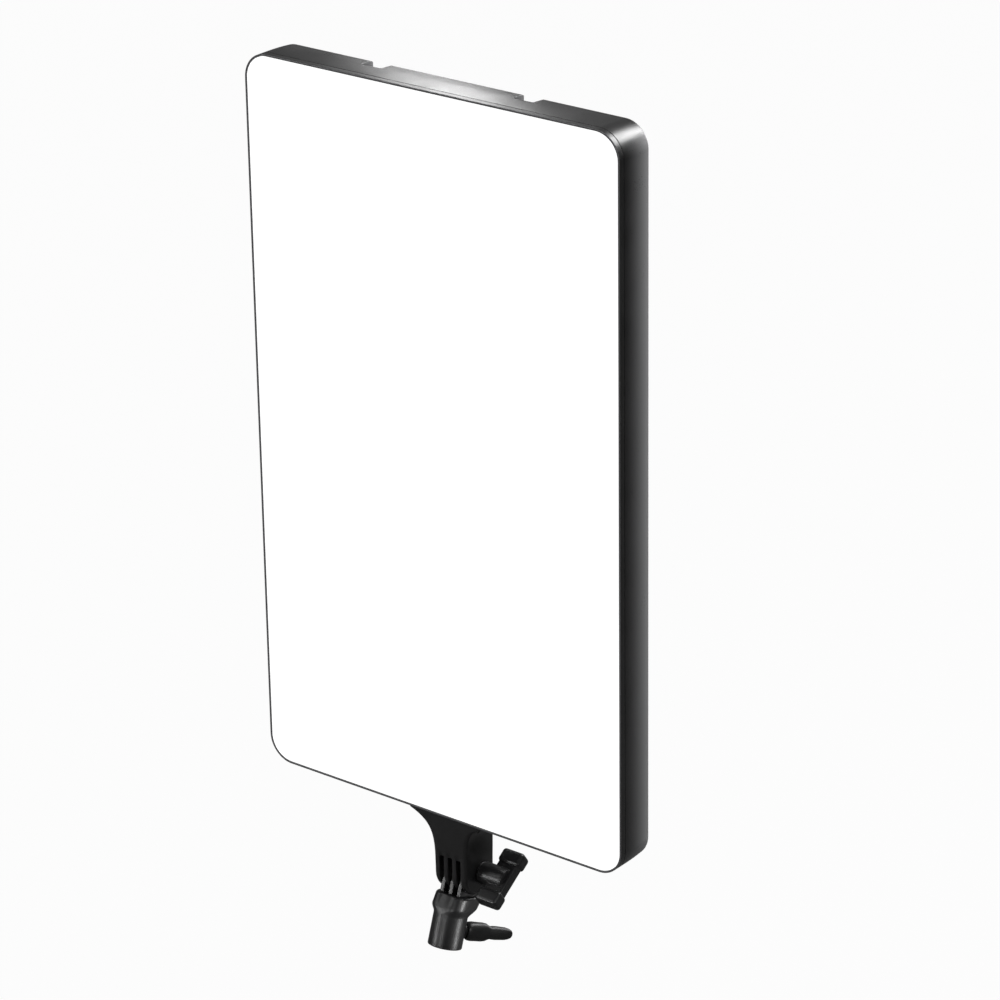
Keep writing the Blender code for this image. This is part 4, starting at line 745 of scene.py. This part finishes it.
def cross_tool(size, width, drop, matrix):
    """The two bars of a cross recess, tapering inwards."""
    bars = []
    for half_x, half_y in ((size / 2, width / 2), (width / 2, size / 2)):
        corners = [(half_x, half_y), (-half_x, half_y), (-half_x, -half_y), (half_x, -half_y)]
        floor = [(x * 0.6, y * 0.8) for x, y in corners]
        bars.append(loft([ring(floor, -drop), ring(corners, 0.3)], matrix))
    return bars


def dome(radius, base, rise):
    """Profile of a dome that closes at its tip."""
    turns = [math.pi / 2 * step / 6 for step in range(1, 6)]
    return [(radius * math.cos(turn), base + rise * math.sin(turn)) for turn in turns] + [(0, base + rise)]


def make_screw(name, matrix, head_radius, head_base, head_height, shank_radius, shank_start, recess):
    """A pan-head screw that looks to the rear, with a domed head and a cross recess."""
    straight = head_base + head_height * 0.35
    profile = [(0, shank_start), (shank_radius * 0.6, shank_start), (shank_radius, shank_start + 1),
               (shank_radius, head_base), (head_radius, head_base), (head_radius, straight)]
    profile += dome(head_radius, straight, head_height * 0.65)
    top = matrix @ shift(0, 0, head_base + head_height)
    body = combine(lathe(profile, matrix, 32), cross_tool(recess, recess * 0.24, head_height * 0.75, top))
    piece(name + "_pan_head", body, black_steel, replaced=name)


def make_screws():
    head_base = PANEL_DEPTH - HEAD_RECESS + GAP
    for index, place in enumerate(HOUSING_SCREWS):
        make_screw(f"housing_screw_{index + 1}", place, HEAD_RADIUS, head_base, 1.8, 1.5, BEZEL_DEPTH + 3, 3)
    for index, place in enumerate(COVER_SCREWS):
        make_screw(f"cover_screw_{index + 1}", place, 1.9, PANEL_FACE + GAP, 1, 1, COVER_BACK - 3, 2)


# ---------------------------------------------------------------- controls

KNOB_X = 20
KNOB_UP = 2
KNOB_RADIUS = 10.5
KNOB_START = PANEL_FACE + 1.2
KNOB_END = KNOB_START + 11
BUTTON_X = 7.5
BUTTON_UP = 22
BUTTON_RADIUS = 3.2
WINDOW_SIZE = (40, 15)
WINDOW_UP = 41
SENSOR_X = 30
PORT_UP = -35
SWITCH_X = -19
JACK_X = 20
BOARD_POSTS = four_ways((31, 45), on_control)
BOARD_BACK = box("driver_board")[1].y - FACE_Y


def make_control_panel():
    plate = rounded_rectangle(CONTROL_WIDTH, CONTROL_HEIGHT, 3)
    body = prism(plate, COVER_BACK, PANEL_FACE, on_control(), 0.3)
    body = combine(body, rods(BOARD_POSTS, 3, BOARD_BACK + GAP, COVER_BACK + 0.5), "UNION")
    window = rounded_rectangle(*WINDOW_SIZE, 0.3, 2)
    tools = [prism(window, COVER_BACK - 1, PANEL_FACE + 1, on_control(0, WINDOW_UP)),
             block((19.4, 13.4, 6), on_control(SWITCH_X, PORT_UP, PANEL_FACE))]
    button = BUTTON_RADIUS + GAP
    for radius, x, up in ((3.9, -KNOB_X, KNOB_UP), (3.9, KNOB_X, KNOB_UP), (button, -BUTTON_X, BUTTON_UP),
                          (button, BUTTON_X, BUTTON_UP), (5, JACK_X, PORT_UP), (2.8, SENSOR_X, WINDOW_UP)):
        tools.append(rod(radius, COVER_BACK - 2, PANEL_FACE + 2, on_control(x, up), 40))
    tools += rods(COVER_SCREWS, 1.3, COVER_BACK - 1, PANEL_FACE + 1, 16)
    piece("control_plate", combine(body, tools), soft_black, replaced="control_panel")


# White print stands 0.06 mm proud of the plate
PRINT_BASE = PANEL_FACE - 0.02
PRINT_TOP = PANEL_FACE + 0.06
PRINT_LINE = 0.3
ICON_UP = KNOB_UP - KNOB_RADIUS - 6.2
POLARITY_UP = PORT_UP - 10.5


def print_bar(x, up, width, height, angle=0.0, radius=0.0):
    """A printed bar; with a radius it stands out from the place, at an angle clockwise from the top."""
    place = on_control(x, up, (PRINT_BASE + PRINT_TOP) / 2) @ Matrix.Rotation(-angle, 4, "Z")
    return block((width, height, PRINT_TOP - PRINT_BASE), place @ shift(0, radius, 0))


def print_shape(outline, x, up):
    return prism(outline, PRINT_BASE, PRINT_TOP, on_control(x, up))


def print_dot(x, up):
    return print_shape(arc((0, 0), 0.5, 0, 330, 11), x, up)


def print_ring(x, up, radius, width):
    return lathe([(radius, PRINT_BASE), (radius, PRINT_TOP), (radius - width, PRINT_TOP),
                  (radius - width, PRINT_BASE)], on_control(x, up), 40, hollow=True)


def dial_marks(x):
    """Eleven marks over three quarters of a turn; the first, middle and last are longer."""
    marks = []
    for step in range(11):
        angle = math.radians(mix_value(-135, 135, step / 10))
        width, length, out = (0.45, 2.0, 2.6) if step % 5 == 0 else (0.3, 1.2, 2.2)
        marks.append(print_bar(x, KNOB_UP, width, length, angle, KNOB_RADIUS + out))
    return marks


def make_prints():
    """Dial marks, a sun, a half-filled disc, button dots, lines, and a polarity mark by the power inlet."""
    sun = [print_ring(-KNOB_X, ICON_UP, 1.3, 0.4)]
    sun += [print_bar(-KNOB_X, ICON_UP, 0.35, 0.9, math.radians(45 * ray), 2.3) for ray in range(8)]
    plus, minus = JACK_X + 3.4, JACK_X - 3.4
    for name, shapes in (
            ("brightness_dial_marks", dial_marks(-KNOB_X)),
            ("colour_dial_marks", dial_marks(KNOB_X)),
            ("sun_mark", sun),
            ("half_disc_mark", [print_ring(KNOB_X, ICON_UP, 2.1, 0.35),
                                print_shape(arc((0, 0), 2, 90, 270, 16), KNOB_X, ICON_UP)]),
            ("button_marks", [print_dot(side * BUTTON_X, BUTTON_UP + 5.6) for side in (-1, 1)]),
            ("panel_lines", [print_bar(0, WINDOW_UP - 9.2, 42, PRINT_LINE),
                             print_bar(0, -24.5, 70, PRINT_LINE)]),
            ("polarity_marks", [print_ring(JACK_X, POLARITY_UP, 1.5, 0.3), print_dot(JACK_X, POLARITY_UP),
                                print_bar(minus, POLARITY_UP, 1.6, PRINT_LINE),
                                print_bar(plus, POLARITY_UP, 1.6, PRINT_LINE),
                                print_bar(plus, POLARITY_UP, PRINT_LINE, 1.6)])):
        piece(name, merged(shapes), print_white)


def make_finger_knob(name, x):
    """Knob with eighteen flutes that run out below its rounded top, and a white pointer line."""
    sides = 144
    flutes = 18
    # height, how far the side leans in, and the share of the flutes' depth
    levels = [(0, 0, 0), (0.3, 0, 1), (2, 0.02, 1), (6.5, 0.3, 1), (8.6, 0.45, 0.9), (9.5, 0.6, 0.5),
              (10.2, 0.95, 0.15), (10.6, 1.4, 0), (10.8, 1.9, 0)]
    waves = [(0.5 + 0.5 * math.cos(flutes * 2 * math.pi * index / sides)) ** 3 for index in range(sides)]
    rings = []
    for height, shrink, fluting in levels:
        radii = [KNOB_RADIUS - shrink - 0.75 * fluting * wave for wave in waves]
        rings.append([(radius * across, radius * up, level)
                      for radius, (across, up, level) in zip(radii, circle(1, KNOB_START + height, sides))])
    for radius, height in ((KNOB_RADIUS - 2.4, 10.72), (KNOB_RADIUS - 4.5, 10.45), (2, 10.3)):
        rings.append(circle(radius, KNOB_START + height, sides))
    matrix = on_control(x, KNOB_UP)
    tools = [rod(3.05, KNOB_START - 1, KNOB_END - 2.2, matrix),
             rod(KNOB_RADIUS * 0.6, KNOB_START - 1, KNOB_START + 2.5, matrix)]
    body_name = name + "_knob"
    piece(name + "_dial", combine(loft(rings, matrix), tools), soft_black, body_name, body_name)
    on_top = matrix @ shift(0, KNOB_RADIUS - 4.9, KNOB_START + 10.42)
    piece(name + "_pointer", block((0.9, 5.6, 0.5), on_top, 0.15, 2), print_white, body_name)


def make_finger_button(name, x):
    """Soft button with a flange behind the plate and a dished top."""
    flange = COVER_BACK - 0.2
    top = PANEL_FACE + 1.4
    profile = [(0, flange - 1.2), (BUTTON_RADIUS + 1, flange - 1.2), (BUTTON_RADIUS + 1, flange),
               (BUTTON_RADIUS, flange)]
    profile += arc((BUTTON_RADIUS - 0.5, top - 0.5), 0.5, 0, 90, 4)
    profile += [(BUTTON_RADIUS - 1.2, top - 0.08), (1, top - 0.3), (0, top - 0.33)]
    body_name = name + "_button"
    piece(name + "_cap", lathe(profile, on_control(x, BUTTON_UP), 40), rubber, body_name, body_name)


SEGMENTS = {"0": "abcdef", "1": "bc", "5": "acdfg", "6": "acdefg"}


def make_display():
    """Lit seven-segment figures between the dark module and its window."""
    middle = (box("display_module")[1].y + box("display_window")[0].y) / 2 - FACE_Y
    tall, wide, thick = 4.2, 3.6, 0.7
    upright = (thick, tall - 0.5, 0.2)
    level = (wide - 0.5, thick, 0.2)
    bars = {"a": (0, tall, level), "b": (wide / 2, tall / 2, upright), "c": (wide / 2, -tall / 2, upright),
            "d": (0, -tall, level), "e": (-wide / 2, -tall / 2, upright), "f": (-wide / 2, tall / 2, upright),
            "g": (0, 0, level)}
    for name, text, left in (("level_figures", "100", -14.5), ("colour_figures", "56", 6.5)):
        shapes = []
        for index, figure in enumerate(text):
            for segment in SEGMENTS[figure]:
                dx, dy, size = bars[segment]
                # read from behind, so the figures run towards -X
                place = on_control(-(left + index * 6.2 + dx), WINDOW_UP + dy, middle)
                shapes.append(block(size, place, 0.06, 1))
        piece(name, merged(shapes), digit_glow)


def make_sensor():
    radius = 2.5
    rim = PANEL_FACE + 0.1
    profile = [(0, COVER_BACK - 2), (radius, COVER_BACK - 2), (radius, rim)] + dome(radius, rim, 0.5)
    piece("sensor_dome", lathe(profile, on_control(SENSOR_X, WINDOW_UP), 40), smoked_window,
          replaced="sensor_window")


def make_rocker():
    """Rocker with a hollowed top, turned to its off side."""
    low, high = box("power_rocker")
    hinge = Vector(joints["power_rock"]["pos_m"]) / MM
    turn = Matrix.Translation(hinge) @ Matrix.Rotation(math.radians(9), 4, "X")
    half, lip, tip = 4.2, 2.4, 4
    hollow = [(half * x, tip - 1.1 * (1 - x * x)) for x in (0.7, 0.45, 0.2, 0, -0.2, -0.45, -0.7)]
    outline = arc((0, 0), 3, 180, 360, 16) + [(half, lip), (half, tip - 0.4), (half - 0.4, tip)] + hollow
    outline += [(-half + 0.4, tip), (-half, tip - 0.4), (-half, lip)]
    # outline points are (up, outwards); the prism runs across the switch
    across = Matrix(((0, 0, 1, 0), (0, 1, 0, 0), (1, 0, 0, 0), (0, 0, 0, 1)))
    half_width = (high.x - low.x) / 2
    body = prism(outline, -half_width, half_width, turn @ across)
    bmesh.ops.bevel(body, geom=[edge for edge in body.edges if edge.calc_face_angle(0) > 1.2],
                    offset=0.25, segments=2, affect="EDGES", profile=0.5)
    piece("rocker_paddle", body, satin_black, "power_rocker", "power_rocker")


def make_jack():
    """Barrel of the power inlet with a rounded rim, and its steel centre pin."""
    base = PANEL_FACE + GAP
    profile = [(0, BOARD_BACK + 1), (4.6, BOARD_BACK + 1), (4.6, base), (6.2, base)]
    profile += arc((5.8, base + 1), 0.4, 0, 90, 4)
    profile += [(3.4, base + 1.4), (2.9, base + 0.9), (2.9, BOARD_BACK + 3), (0, BOARD_BACK + 3)]
    matrix = on_control(JACK_X, PORT_UP)
    piece("inlet_barrel", lathe(profile, matrix), satin_black, replaced="dc_jack")
    pin = [(1, BOARD_BACK + 2.9), (1, PANEL_FACE - 1.5), (0.8, PANEL_FACE - 1.1), (0, PANEL_FACE - 1)]
    piece("inlet_pin", lathe(pin, matrix, 24), steel)


# ---------------------------------------------------------------- bracket

TUBE_RADIUS = 11.7
BORE_RADIUS = 8.15
BORE_DEPTH = 30
LOCK_INSERT_RADIUS = 4.6
LEAF_RADIUS = 12.6
LEAF_PITCH = 3.53          # four neck leaves take turns with three socket leaves
LEAF_THICKNESS = LEAF_PITCH - GAP
HINGE_HALF_WIDTH = 13.2
NECK_HALF_DEPTH = 15.6
NECK_SETBACK = -2.1
NECK_CORNER = 2.5
NECK_FOOT = LEAF_RADIUS + 0.6
NECK_TOP = box("neck_bracket")[1].z - PIVOT.z
NECK_FLARE_LENGTH = 7.5
FLANGE_HALF_WIDTH = 31
FLANGE_THICKNESS = 3.2
FLANGE_DEPTH = 27
FLANGE_Y = PANEL.translation.y + FLANGE_DEPTH_CENTRE - PIVOT.y
BOLT_RADIUS = 3
BOLT_HEAD_RADIUS = 10 / math.sqrt(3)
BOLT_HEAD_HEIGHT = 2
BOLT_LENGTH = 40
HEAD_POCKET = 1.6
SLOT_BELOW_PIVOT = 18.3
BLOCK_TOP = PIVOT_IN_SOCKET.z - SLOT_BELOW_PIVOT
BLOCK_EDGE = 1.5
BLOCK_HALF_WIDTH = 12.9
LEAF_HEEL = 9.3            # the socket leaves narrow at the rear to meet the block's rounded top
GROOVE_DEPTH = 0.9
GROOVE_TOP = 5             # above the slots, where the grooves have faded out
QUARTER_Y = Matrix.Rotation(math.radians(90), 4, "Y")
SIDEWAYS = TILT @ QUARTER_Y
LEAF_ACROSS = Matrix(((0, 0, 1, 0), (1, 0, 0, 0), (0, 1, 0, 0), (0, 0, 0, 1)))


def neck_half_width(height):
    """The neck widens to its flange as a trumpet does."""
    drop = max(NECK_TOP - height - FLANGE_THICKNESS, 0)
    return mix_value(HINGE_HALF_WIDTH, FLANGE_HALF_WIDTH, math.exp(-drop / NECK_FLARE_LENGTH))


def leaf_groove(x):
    """How much of the groove's depth there is at a place across the hinge; most at the slots."""
    return 0.5 + 0.5 * math.cos(math.pi * x / LEAF_PITCH) if abs(x) < 3 * LEAF_PITCH else 0.0


def dense_rectangle(half_width, half_depth):
    """The neck's rounded rectangle, with extra points along its front and rear."""
    steps = 6
    points = []
    outline = rounded_rectangle(2 * half_width, 2 * half_depth, NECK_CORNER, steps)
    for corner, count in enumerate((44, 10, 44, 10)):
        points += outline[corner * (steps + 1):(corner + 1) * (steps + 1)]
        last = Vector(points[-1])
        first = Vector(outline[(corner + 1) * (steps + 1) % len(outline)])
        points += [tuple(last.lerp(first, step / count)) for step in range(1, count)]
    return points


def neck_section(height, round_off=0.0):
    """One outline of the neck, with the grooves that grow towards the slots."""
    rise = max(height - NECK_FOOT, 0) / (NECK_TOP - NECK_FOOT)
    centre_y = mix_value(NECK_SETBACK, FLANGE_Y, rise * rise)
    half_depth = mix_value(NECK_HALF_DEPTH, FLANGE_DEPTH / 2, rise * rise) - round_off
    growth = smooth(1 - (height - NECK_FOOT) / GROOVE_TOP)
    points = []
    for x, y in dense_rectangle(neck_half_width(height) - round_off, half_depth):
        on_face = smooth((abs(y) - half_depth + NECK_CORNER) / NECK_CORNER)
        inwards = GROOVE_DEPTH * growth * leaf_groove(x) * on_face
        points.append((x, y - math.copysign(inwards, y) + centre_y, height))
    return points


def drum_profile():
    """Half outline of the leaves' round ends: radius and place across the hinge."""
    radius = NECK_HALF_DEPTH - 0.01
    straight = HINGE_HALF_WIDTH - NECK_CORNER
    middle = [(radius - GROOVE_DEPTH * leaf_groove(x), x)
              for x in (straight * step / 30 for step in range(-29, 30))]
    return ([(0, -HINGE_HALF_WIDTH)] + arc((radius - NECK_CORNER, -straight), NECK_CORNER, -90, 0, 6) + middle
            + arc((radius - NECK_CORNER, straight), NECK_CORNER, 0, 90, 6) + [(0, HINGE_HALF_WIDTH)])


def make_neck():
    """Trumpet neck over four round leaves."""
    flare_end = NECK_TOP - FLANGE_THICKNESS
    levels = [0, NECK_FOOT * 0.5] + [mix_value(NECK_FOOT, flare_end, step / 30) for step in range(31)]
    rings = [neck_section(height) for height in levels + [NECK_TOP - FLANGE_THICKNESS * 0.5, NECK_TOP - 0.4]]
    drum = lathe(drum_profile(), TILT @ shift(0, NECK_SETBACK, 0) @ QUARTER_Y, 96)
    body = combine(loft(rings + [neck_section(NECK_TOP, 0.3)], TILT), [drum], "UNION")
    reach = HINGE_HALF_WIDTH + 4
    tools = [rod(BOLT_RADIUS + 0.1, -reach, reach, SIDEWAYS),
             rod(BOLT_HEAD_RADIUS + GAP, -reach, -HINGE_HALF_WIDTH + HEAD_POCKET, SIDEWAYS, 6)]
    slot_low = -NECK_HALF_DEPTH - 2
    for number in (-1, 0, 1):
        size = (LEAF_THICKNESS + 2 * GAP, 4 * NECK_HALF_DEPTH, NECK_FOOT - slot_low)
        place = shift(number * 2 * LEAF_PITCH, 0, (NECK_FOOT + slot_low) / 2)
        tools.append(block(size, TILT @ place, 0.5))
    for side in (-1, 1):
        screw = TILT @ shift(side * NECK_SCREW_X, FLANGE_Y, 0)
        tools.append(rod(NECK_HOLE_RADIUS, NECK_TOP - 12, NECK_TOP + 1, screw, 24))
        tools.append(rod(4.6, NECK_TOP - 25, flare_end, screw))
    piece("neck_trumpet", combine(body, tools), black_plastic, replaced="neck_bracket")


def block_section(height, half_x, half_y, power, shift, groove):
    """One outline of the socket's block, with two grooves in its front."""
    half_groove = LEAF_PITCH * 0.9
    points = []
    for x, y in squircle(half_x, half_y, power, 128):
        away = abs(x) - LEAF_PITCH
        share = 0.5 + 0.5 * math.cos(math.pi * away / half_groove)
        inwards = groove * share if abs(away) < half_groove and y < 0 else 0.0
        points.append((x, y + inwards + shift, height))
    return points


def socket_sections():
    """The tube from its rounded rim, its swell into the block, and the block's rounded top."""
    low = 0.12 - BORE_DEPTH
    swell_start = -8
    tube = [(low, 0.7), (low + 0.2, 0.2)]
    tube += [(mix_value(low + 0.7, swell_start, step / 6), 0) for step in range(7)]
    sections = [(height, TUBE_RADIUS - inset, TUBE_RADIUS - inset, 2, 0, 0) for height, inset in tube]
    for step in range(1, 15):
        share = step / 14
        swell = smooth(share * 2.0)
        sections.append((mix_value(swell_start, BLOCK_TOP - BLOCK_EDGE, share),
                         mix_value(TUBE_RADIUS, BLOCK_HALF_WIDTH, swell),
                         mix_value(TUBE_RADIUS, LEAF_RADIUS + 1.8, 0.35 * swell + 0.65 * share),
                         mix_value(2, 3.6, swell), (PIVOT_IN_SOCKET.y - 1.9) * share,
                         0.7 * smooth(share * 1.4 - 0.4)))
    _, half_x, half_y, *rest = sections[-1]
    return sections + [(BLOCK_TOP - BLOCK_EDGE * along, half_x - BLOCK_EDGE * across,
                        half_y - BLOCK_EDGE * across, *rest) for along, across in quarter(3)[1:]]


def make_socket():
    """Tube that swells into a block under three hinge leaves."""
    hinge = SOCKET @ Matrix.Translation(PIVOT_IN_SOCKET)
    reach = SLOT_BELOW_PIVOT + 3
    outline = arc((0, 0), LEAF_RADIUS, 0, 180, 48) + [(-LEAF_RADIUS, -reach), (LEAF_HEEL, -reach),
                                                      (LEAF_HEEL, -SLOT_BELOW_PIVOT), (LEAF_RADIUS, -7)]
    half = LEAF_THICKNESS / 2
    leaves = [prism(outline, centre - half, centre + half, hinge @ LEAF_ACROSS, 0.5)
              for centre in (-2 * LEAF_PITCH, 0, 2 * LEAF_PITCH)]
    body = combine(loft([block_section(*section) for section in socket_sections()], SOCKET), leaves, "UNION")
    tools = [rod(BORE_RADIUS, -BORE_DEPTH - 1, 0, SOCKET, 64),
             rod(BOLT_RADIUS + GAP, -HINGE_HALF_WIDTH, HINGE_HALF_WIDTH, hinge @ QUARTER_Y),
             rod(LOCK_INSERT_RADIUS + GAP, BORE_RADIUS - 1.5, TUBE_RADIUS + 8, LOCK, 40)]
    piece("socket_clamp", combine(body, tools), black_plastic, "stand_bracket", "stand_socket")


def make_bolt():
    """Hexagon bolt with a chamfered head."""
    start = -HINGE_HALF_WIDTH + HEAD_POCKET - GAP
    top = start - BOLT_HEAD_HEIGHT
    end = start + BOLT_LENGTH
    chamfer = BOLT_HEAD_RADIUS + 0.3
    bowl = lathe([(0, top), (4.6, top), (chamfer, top + 0.6), (chamfer, start + 1), (0, start + 1)], SIDEWAYS)
    head = combine(rod(BOLT_HEAD_RADIUS, top, start, SIDEWAYS, 6), [bowl], "INTERSECT")
    shank = lathe([(0, start - 0.5), (BOLT_RADIUS, start - 0.5), (BOLT_RADIUS, end - 0.5),
                   (BOLT_RADIUS - 0.5, end), (0, end)], SIDEWAYS, 32)
    piece("hinge_hex_bolt", combine(head, [shank], "UNION"), black_steel, replaced="hinge_bolt")


WASHER_THICKNESS = 1.2
HUB_START = HINGE_HALF_WIDTH + GAP + WASHER_THICKNESS + GAP
BAR_START = 21.5
BAR_DEPTH = 17.5
LOBE_SPACING = 15.6


def make_tilt_knob():
    """Round hub, and a bar across it whose two ends are thick lobes."""
    end = BAR_START + BAR_DEPTH
    hub = lathe([(0, HUB_START), (7.4, HUB_START), (8, HUB_START + 0.6), (8, end - 6), (7.6, end - 4.6),
                 (6.6, end - 4), (0, end - 4)], KNOB)
    middle = KNOB @ shift(0, 0, BAR_START + BAR_DEPTH / 2)
    web = block((2 * LOBE_SPACING, 8, BAR_DEPTH - 2), middle, 1.6, 4)
    lobes = [block((10.2, 10.6, BAR_DEPTH), middle @ shift(side * LOBE_SPACING, 0, 0), 2.4, 5)
             for side in (-1, 1)]
    body = combine(hub, [web] + lobes, "UNION")
    body = combine(body, [rod(4.7, HUB_START - 1, HUB_START + 9, KNOB, 6),
                          rod(BOLT_RADIUS + GAP, HUB_START, 32, KNOB)])
    piece("tilt_wing", body, black_plastic, "tilt_knob", "tilt_knob")


LOCK_TIP = 48.5


def make_lock_screw():
    """Flat thumb grip with a thick lobe, a waist and a thinner lobe."""
    start = TUBE_RADIUS + 1.3
    waist = start + 18.5
    # place along the screw, half height, half width
    stations = [(start, 4.9, 4.9), (start + 0.4, 5.4, 5.3), (start + 1.5, 6.2, 5.6), (start + 4, 6.6, 5.4),
                (start + 8, 6.5, 4.7), (start + 12, 6.5, 4.2), (waist - 3.5, 6, 3.9), (waist - 1.5, 4.9, 3.7),
                (waist, 4.4, 3.6), (waist + 1.5, 4.6, 3.6), (waist + 4, 4.7, 3.5), (LOCK_TIP - 6, 4.3, 3.3),
                (LOCK_TIP - 3, 3.6, 2.9), (LOCK_TIP - 1.2, 2.7, 2.2), (LOCK_TIP - 0.3, 1.6, 1.3),
                (LOCK_TIP, 0.6, 0.5)]
    grip = loft([ring(squircle(height, width, 2.4, 48), along) for along, height, width in stations], LOCK)
    piece("lock_grip", combine(grip, [rod(3.2, start - 1, start + 10, LOCK)]), black_plastic, "lock_screw",
          "lock_screw")


make_front_frame()
make_opal_sheet()
make_rear_cover()
make_screws()
make_control_panel()
make_prints()
make_finger_knob("brightness", -KNOB_X)
make_finger_knob("colour", KNOB_X)
make_finger_button("mode", -BUTTON_X)
make_finger_button("channel", BUTTON_X)
make_display()
make_sensor()
make_rocker()
make_jack()
make_neck()
make_socket()
make_bolt()
make_tilt_knob()
make_lock_screw()


# ---------------------------------------------------------------- studio

FLOOR_DROP = 0.25          # metres under the object: room for the panel when it tilts below its socket
WHITE = (1, 1, 1, 1)


def floor_finish():
    """Pale matt floor; the lens sees it nearly white."""
    finish, tree, shader, place = blank("studio_floor")
    tone = mixed(tree, noise(tree, place, 3, 2), (0.14, 0.14, 0.14), (0.16, 0.16, 0.16))
    fill(tree, shader, {"Base Color": tone, "Roughness": 0.9})
    glow = node(tree, "ShaderNodeEmission", {"Color": WHITE, "Strength": 1.0})
    lens = maths(tree, "MULTIPLY", node(tree, "ShaderNodeLightPath").outputs["Is Camera Ray"], 0.97)
    blend = node(tree, "ShaderNodeMixShader", {0: lens, 1: shader.outputs[0], 2: glow.outputs[0]})
    fill(tree, tree.nodes["Material Output"], {"Surface": blend.outputs[0]})
    return finish


def make_floor():
    low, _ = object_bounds()
    shape = bmesh.new()
    bmesh.ops.create_grid(shape, x_segments=8, y_segments=8, size=30)
    floor = as_object(shape, "studio_floor")
    floor.location.z = low.z - FLOOR_DROP
    floor.data.materials.append(floor_finish())


def make_world():
    """White for the lens; a soft gradient, brighter behind, for everything else."""
    world = bpy.data.worlds.new("studio")
    world.use_nodes = True
    tree = world.node_tree
    tree.nodes.clear()
    direction = node(tree, "ShaderNodeTexCoord").outputs["Generated"]
    behind = spread(tree, part(tree, direction, "Y"), -0.6, 0.9, 0.04, 0.22)
    room, seen = [node(tree, "ShaderNodeBackground", {"Color": WHITE, "Strength": strength}).outputs[0]
                  for strength in (behind, 1.0)]
    lens = node(tree, "ShaderNodeLightPath").outputs["Is Camera Ray"]
    blend = node(tree, "ShaderNodeMixShader", {0: lens, 1: room, 2: seen})
    node(tree, "ShaderNodeOutputWorld", {"Surface": blend.outputs[0]})
    bpy.context.scene.world = world


def softbox(name, place, target, size, power):
    light = with_settings(bpy.data.lights.new(name, "AREA"), shape="RECTANGLE", size=size[0], size_y=size[1],
                          energy=power)
    turn = (Vector(target) - Vector(place)).to_track_quat("-Z", "Y")
    return with_settings(in_scene(name, light), location=place, rotation_mode="QUATERNION",
                         rotation_quaternion=turn, visible_camera=False)


UPPER_BRACKET = ("neck_trumpet", "socket_clamp", "tilt_wing")
# name, place, size, power, and the pieces that the light shines on
BRACKET_LIGHTS = (("front_strip", (0.05, -1.0, 0.22), (0.1, 0.4), 2.5, UPPER_BRACKET),
                  ("right_strip", (0.96, 0.2, -0.16), (0.12, 0.3), 8, ("socket_clamp",)),
                  ("low_left", (-0.7, -0.95, 0.12), (0.25, 0.25), 4, UPPER_BRACKET))


def shine_on(light, names):
    """Keep a light to the named pieces."""
    lit = bpy.data.collections.new(light.name + "_lit")
    for name in names:
        lit.objects.link(bpy.data.objects[name])
    light.light_linking.receiver_collection = lit


def make_lights():
    middle = PANEL.translation * MM
    top = middle + Vector((0, 15, PANEL_HEIGHT / 2)) * MM
    softbox("top_band", top + Vector((-0.572, 0.721, 0.391)) * 0.42, top, (0.08, 0.08), 0.3)
    softbox("corner_glint", top + Vector((0.391, 0.721, 0.572)) * 1.2, top, (0.5, 0.5), 16)
    softbox("key_left", (-1.6, -1.2, 1.4), middle, (0.8, 1.2), 10)
    softbox("fill_right", (2.0, -0.6, 1.0), middle, (0.6, 1.4), 12)
    softbox("overhead", (0, 0.3, 2.2), middle, (1.6, 1.6), 10)
    softbox("behind", (0.3, 2.4, 1.0), middle, (1.2, 1.2), 25)
    for name, place, size, power, lit in BRACKET_LIGHTS:
        shine_on(softbox(name, place, PIVOT * MM, size, power), lit)


# ---------------------------------------------------------------- camera

CAMERA_AZIMUTH = math.radians(38.403)
CAMERA_ELEVATION = math.radians(23.044)
CAMERA_ROLL = math.radians(-0.8402)
CAMERA_LENS = 150.3
CAMERA_OFFSET = Vector((0.0425, -0.0211, 2.659347))     # right, up and back from the panel's middle


def make_camera():
    back = Vector((math.sin(CAMERA_AZIMUTH) * math.cos(CAMERA_ELEVATION),
                   -math.cos(CAMERA_AZIMUTH) * math.cos(CAMERA_ELEVATION), math.sin(CAMERA_ELEVATION)))
    right = (-back).cross(Vector((0, 0, 1))).normalized()
    turn = Matrix((right, right.cross(-back), back)).transposed() @ Matrix.Rotation(CAMERA_ROLL, 3, "Z")
    lens = with_settings(bpy.data.cameras.new("studio_camera"), sensor_width=36, lens=CAMERA_LENS,
                         clip_end=100)
    camera = in_scene("studio_camera", lens)
    camera.matrix_world = Matrix.Translation(PANEL.translation * MM + turn @ CAMERA_OFFSET) @ turn.to_4x4()
    bpy.context.scene.camera = camera


bpy.context.scene.view_settings.view_transform = "Standard"
make_floor()
make_world()
make_lights()
make_camera()
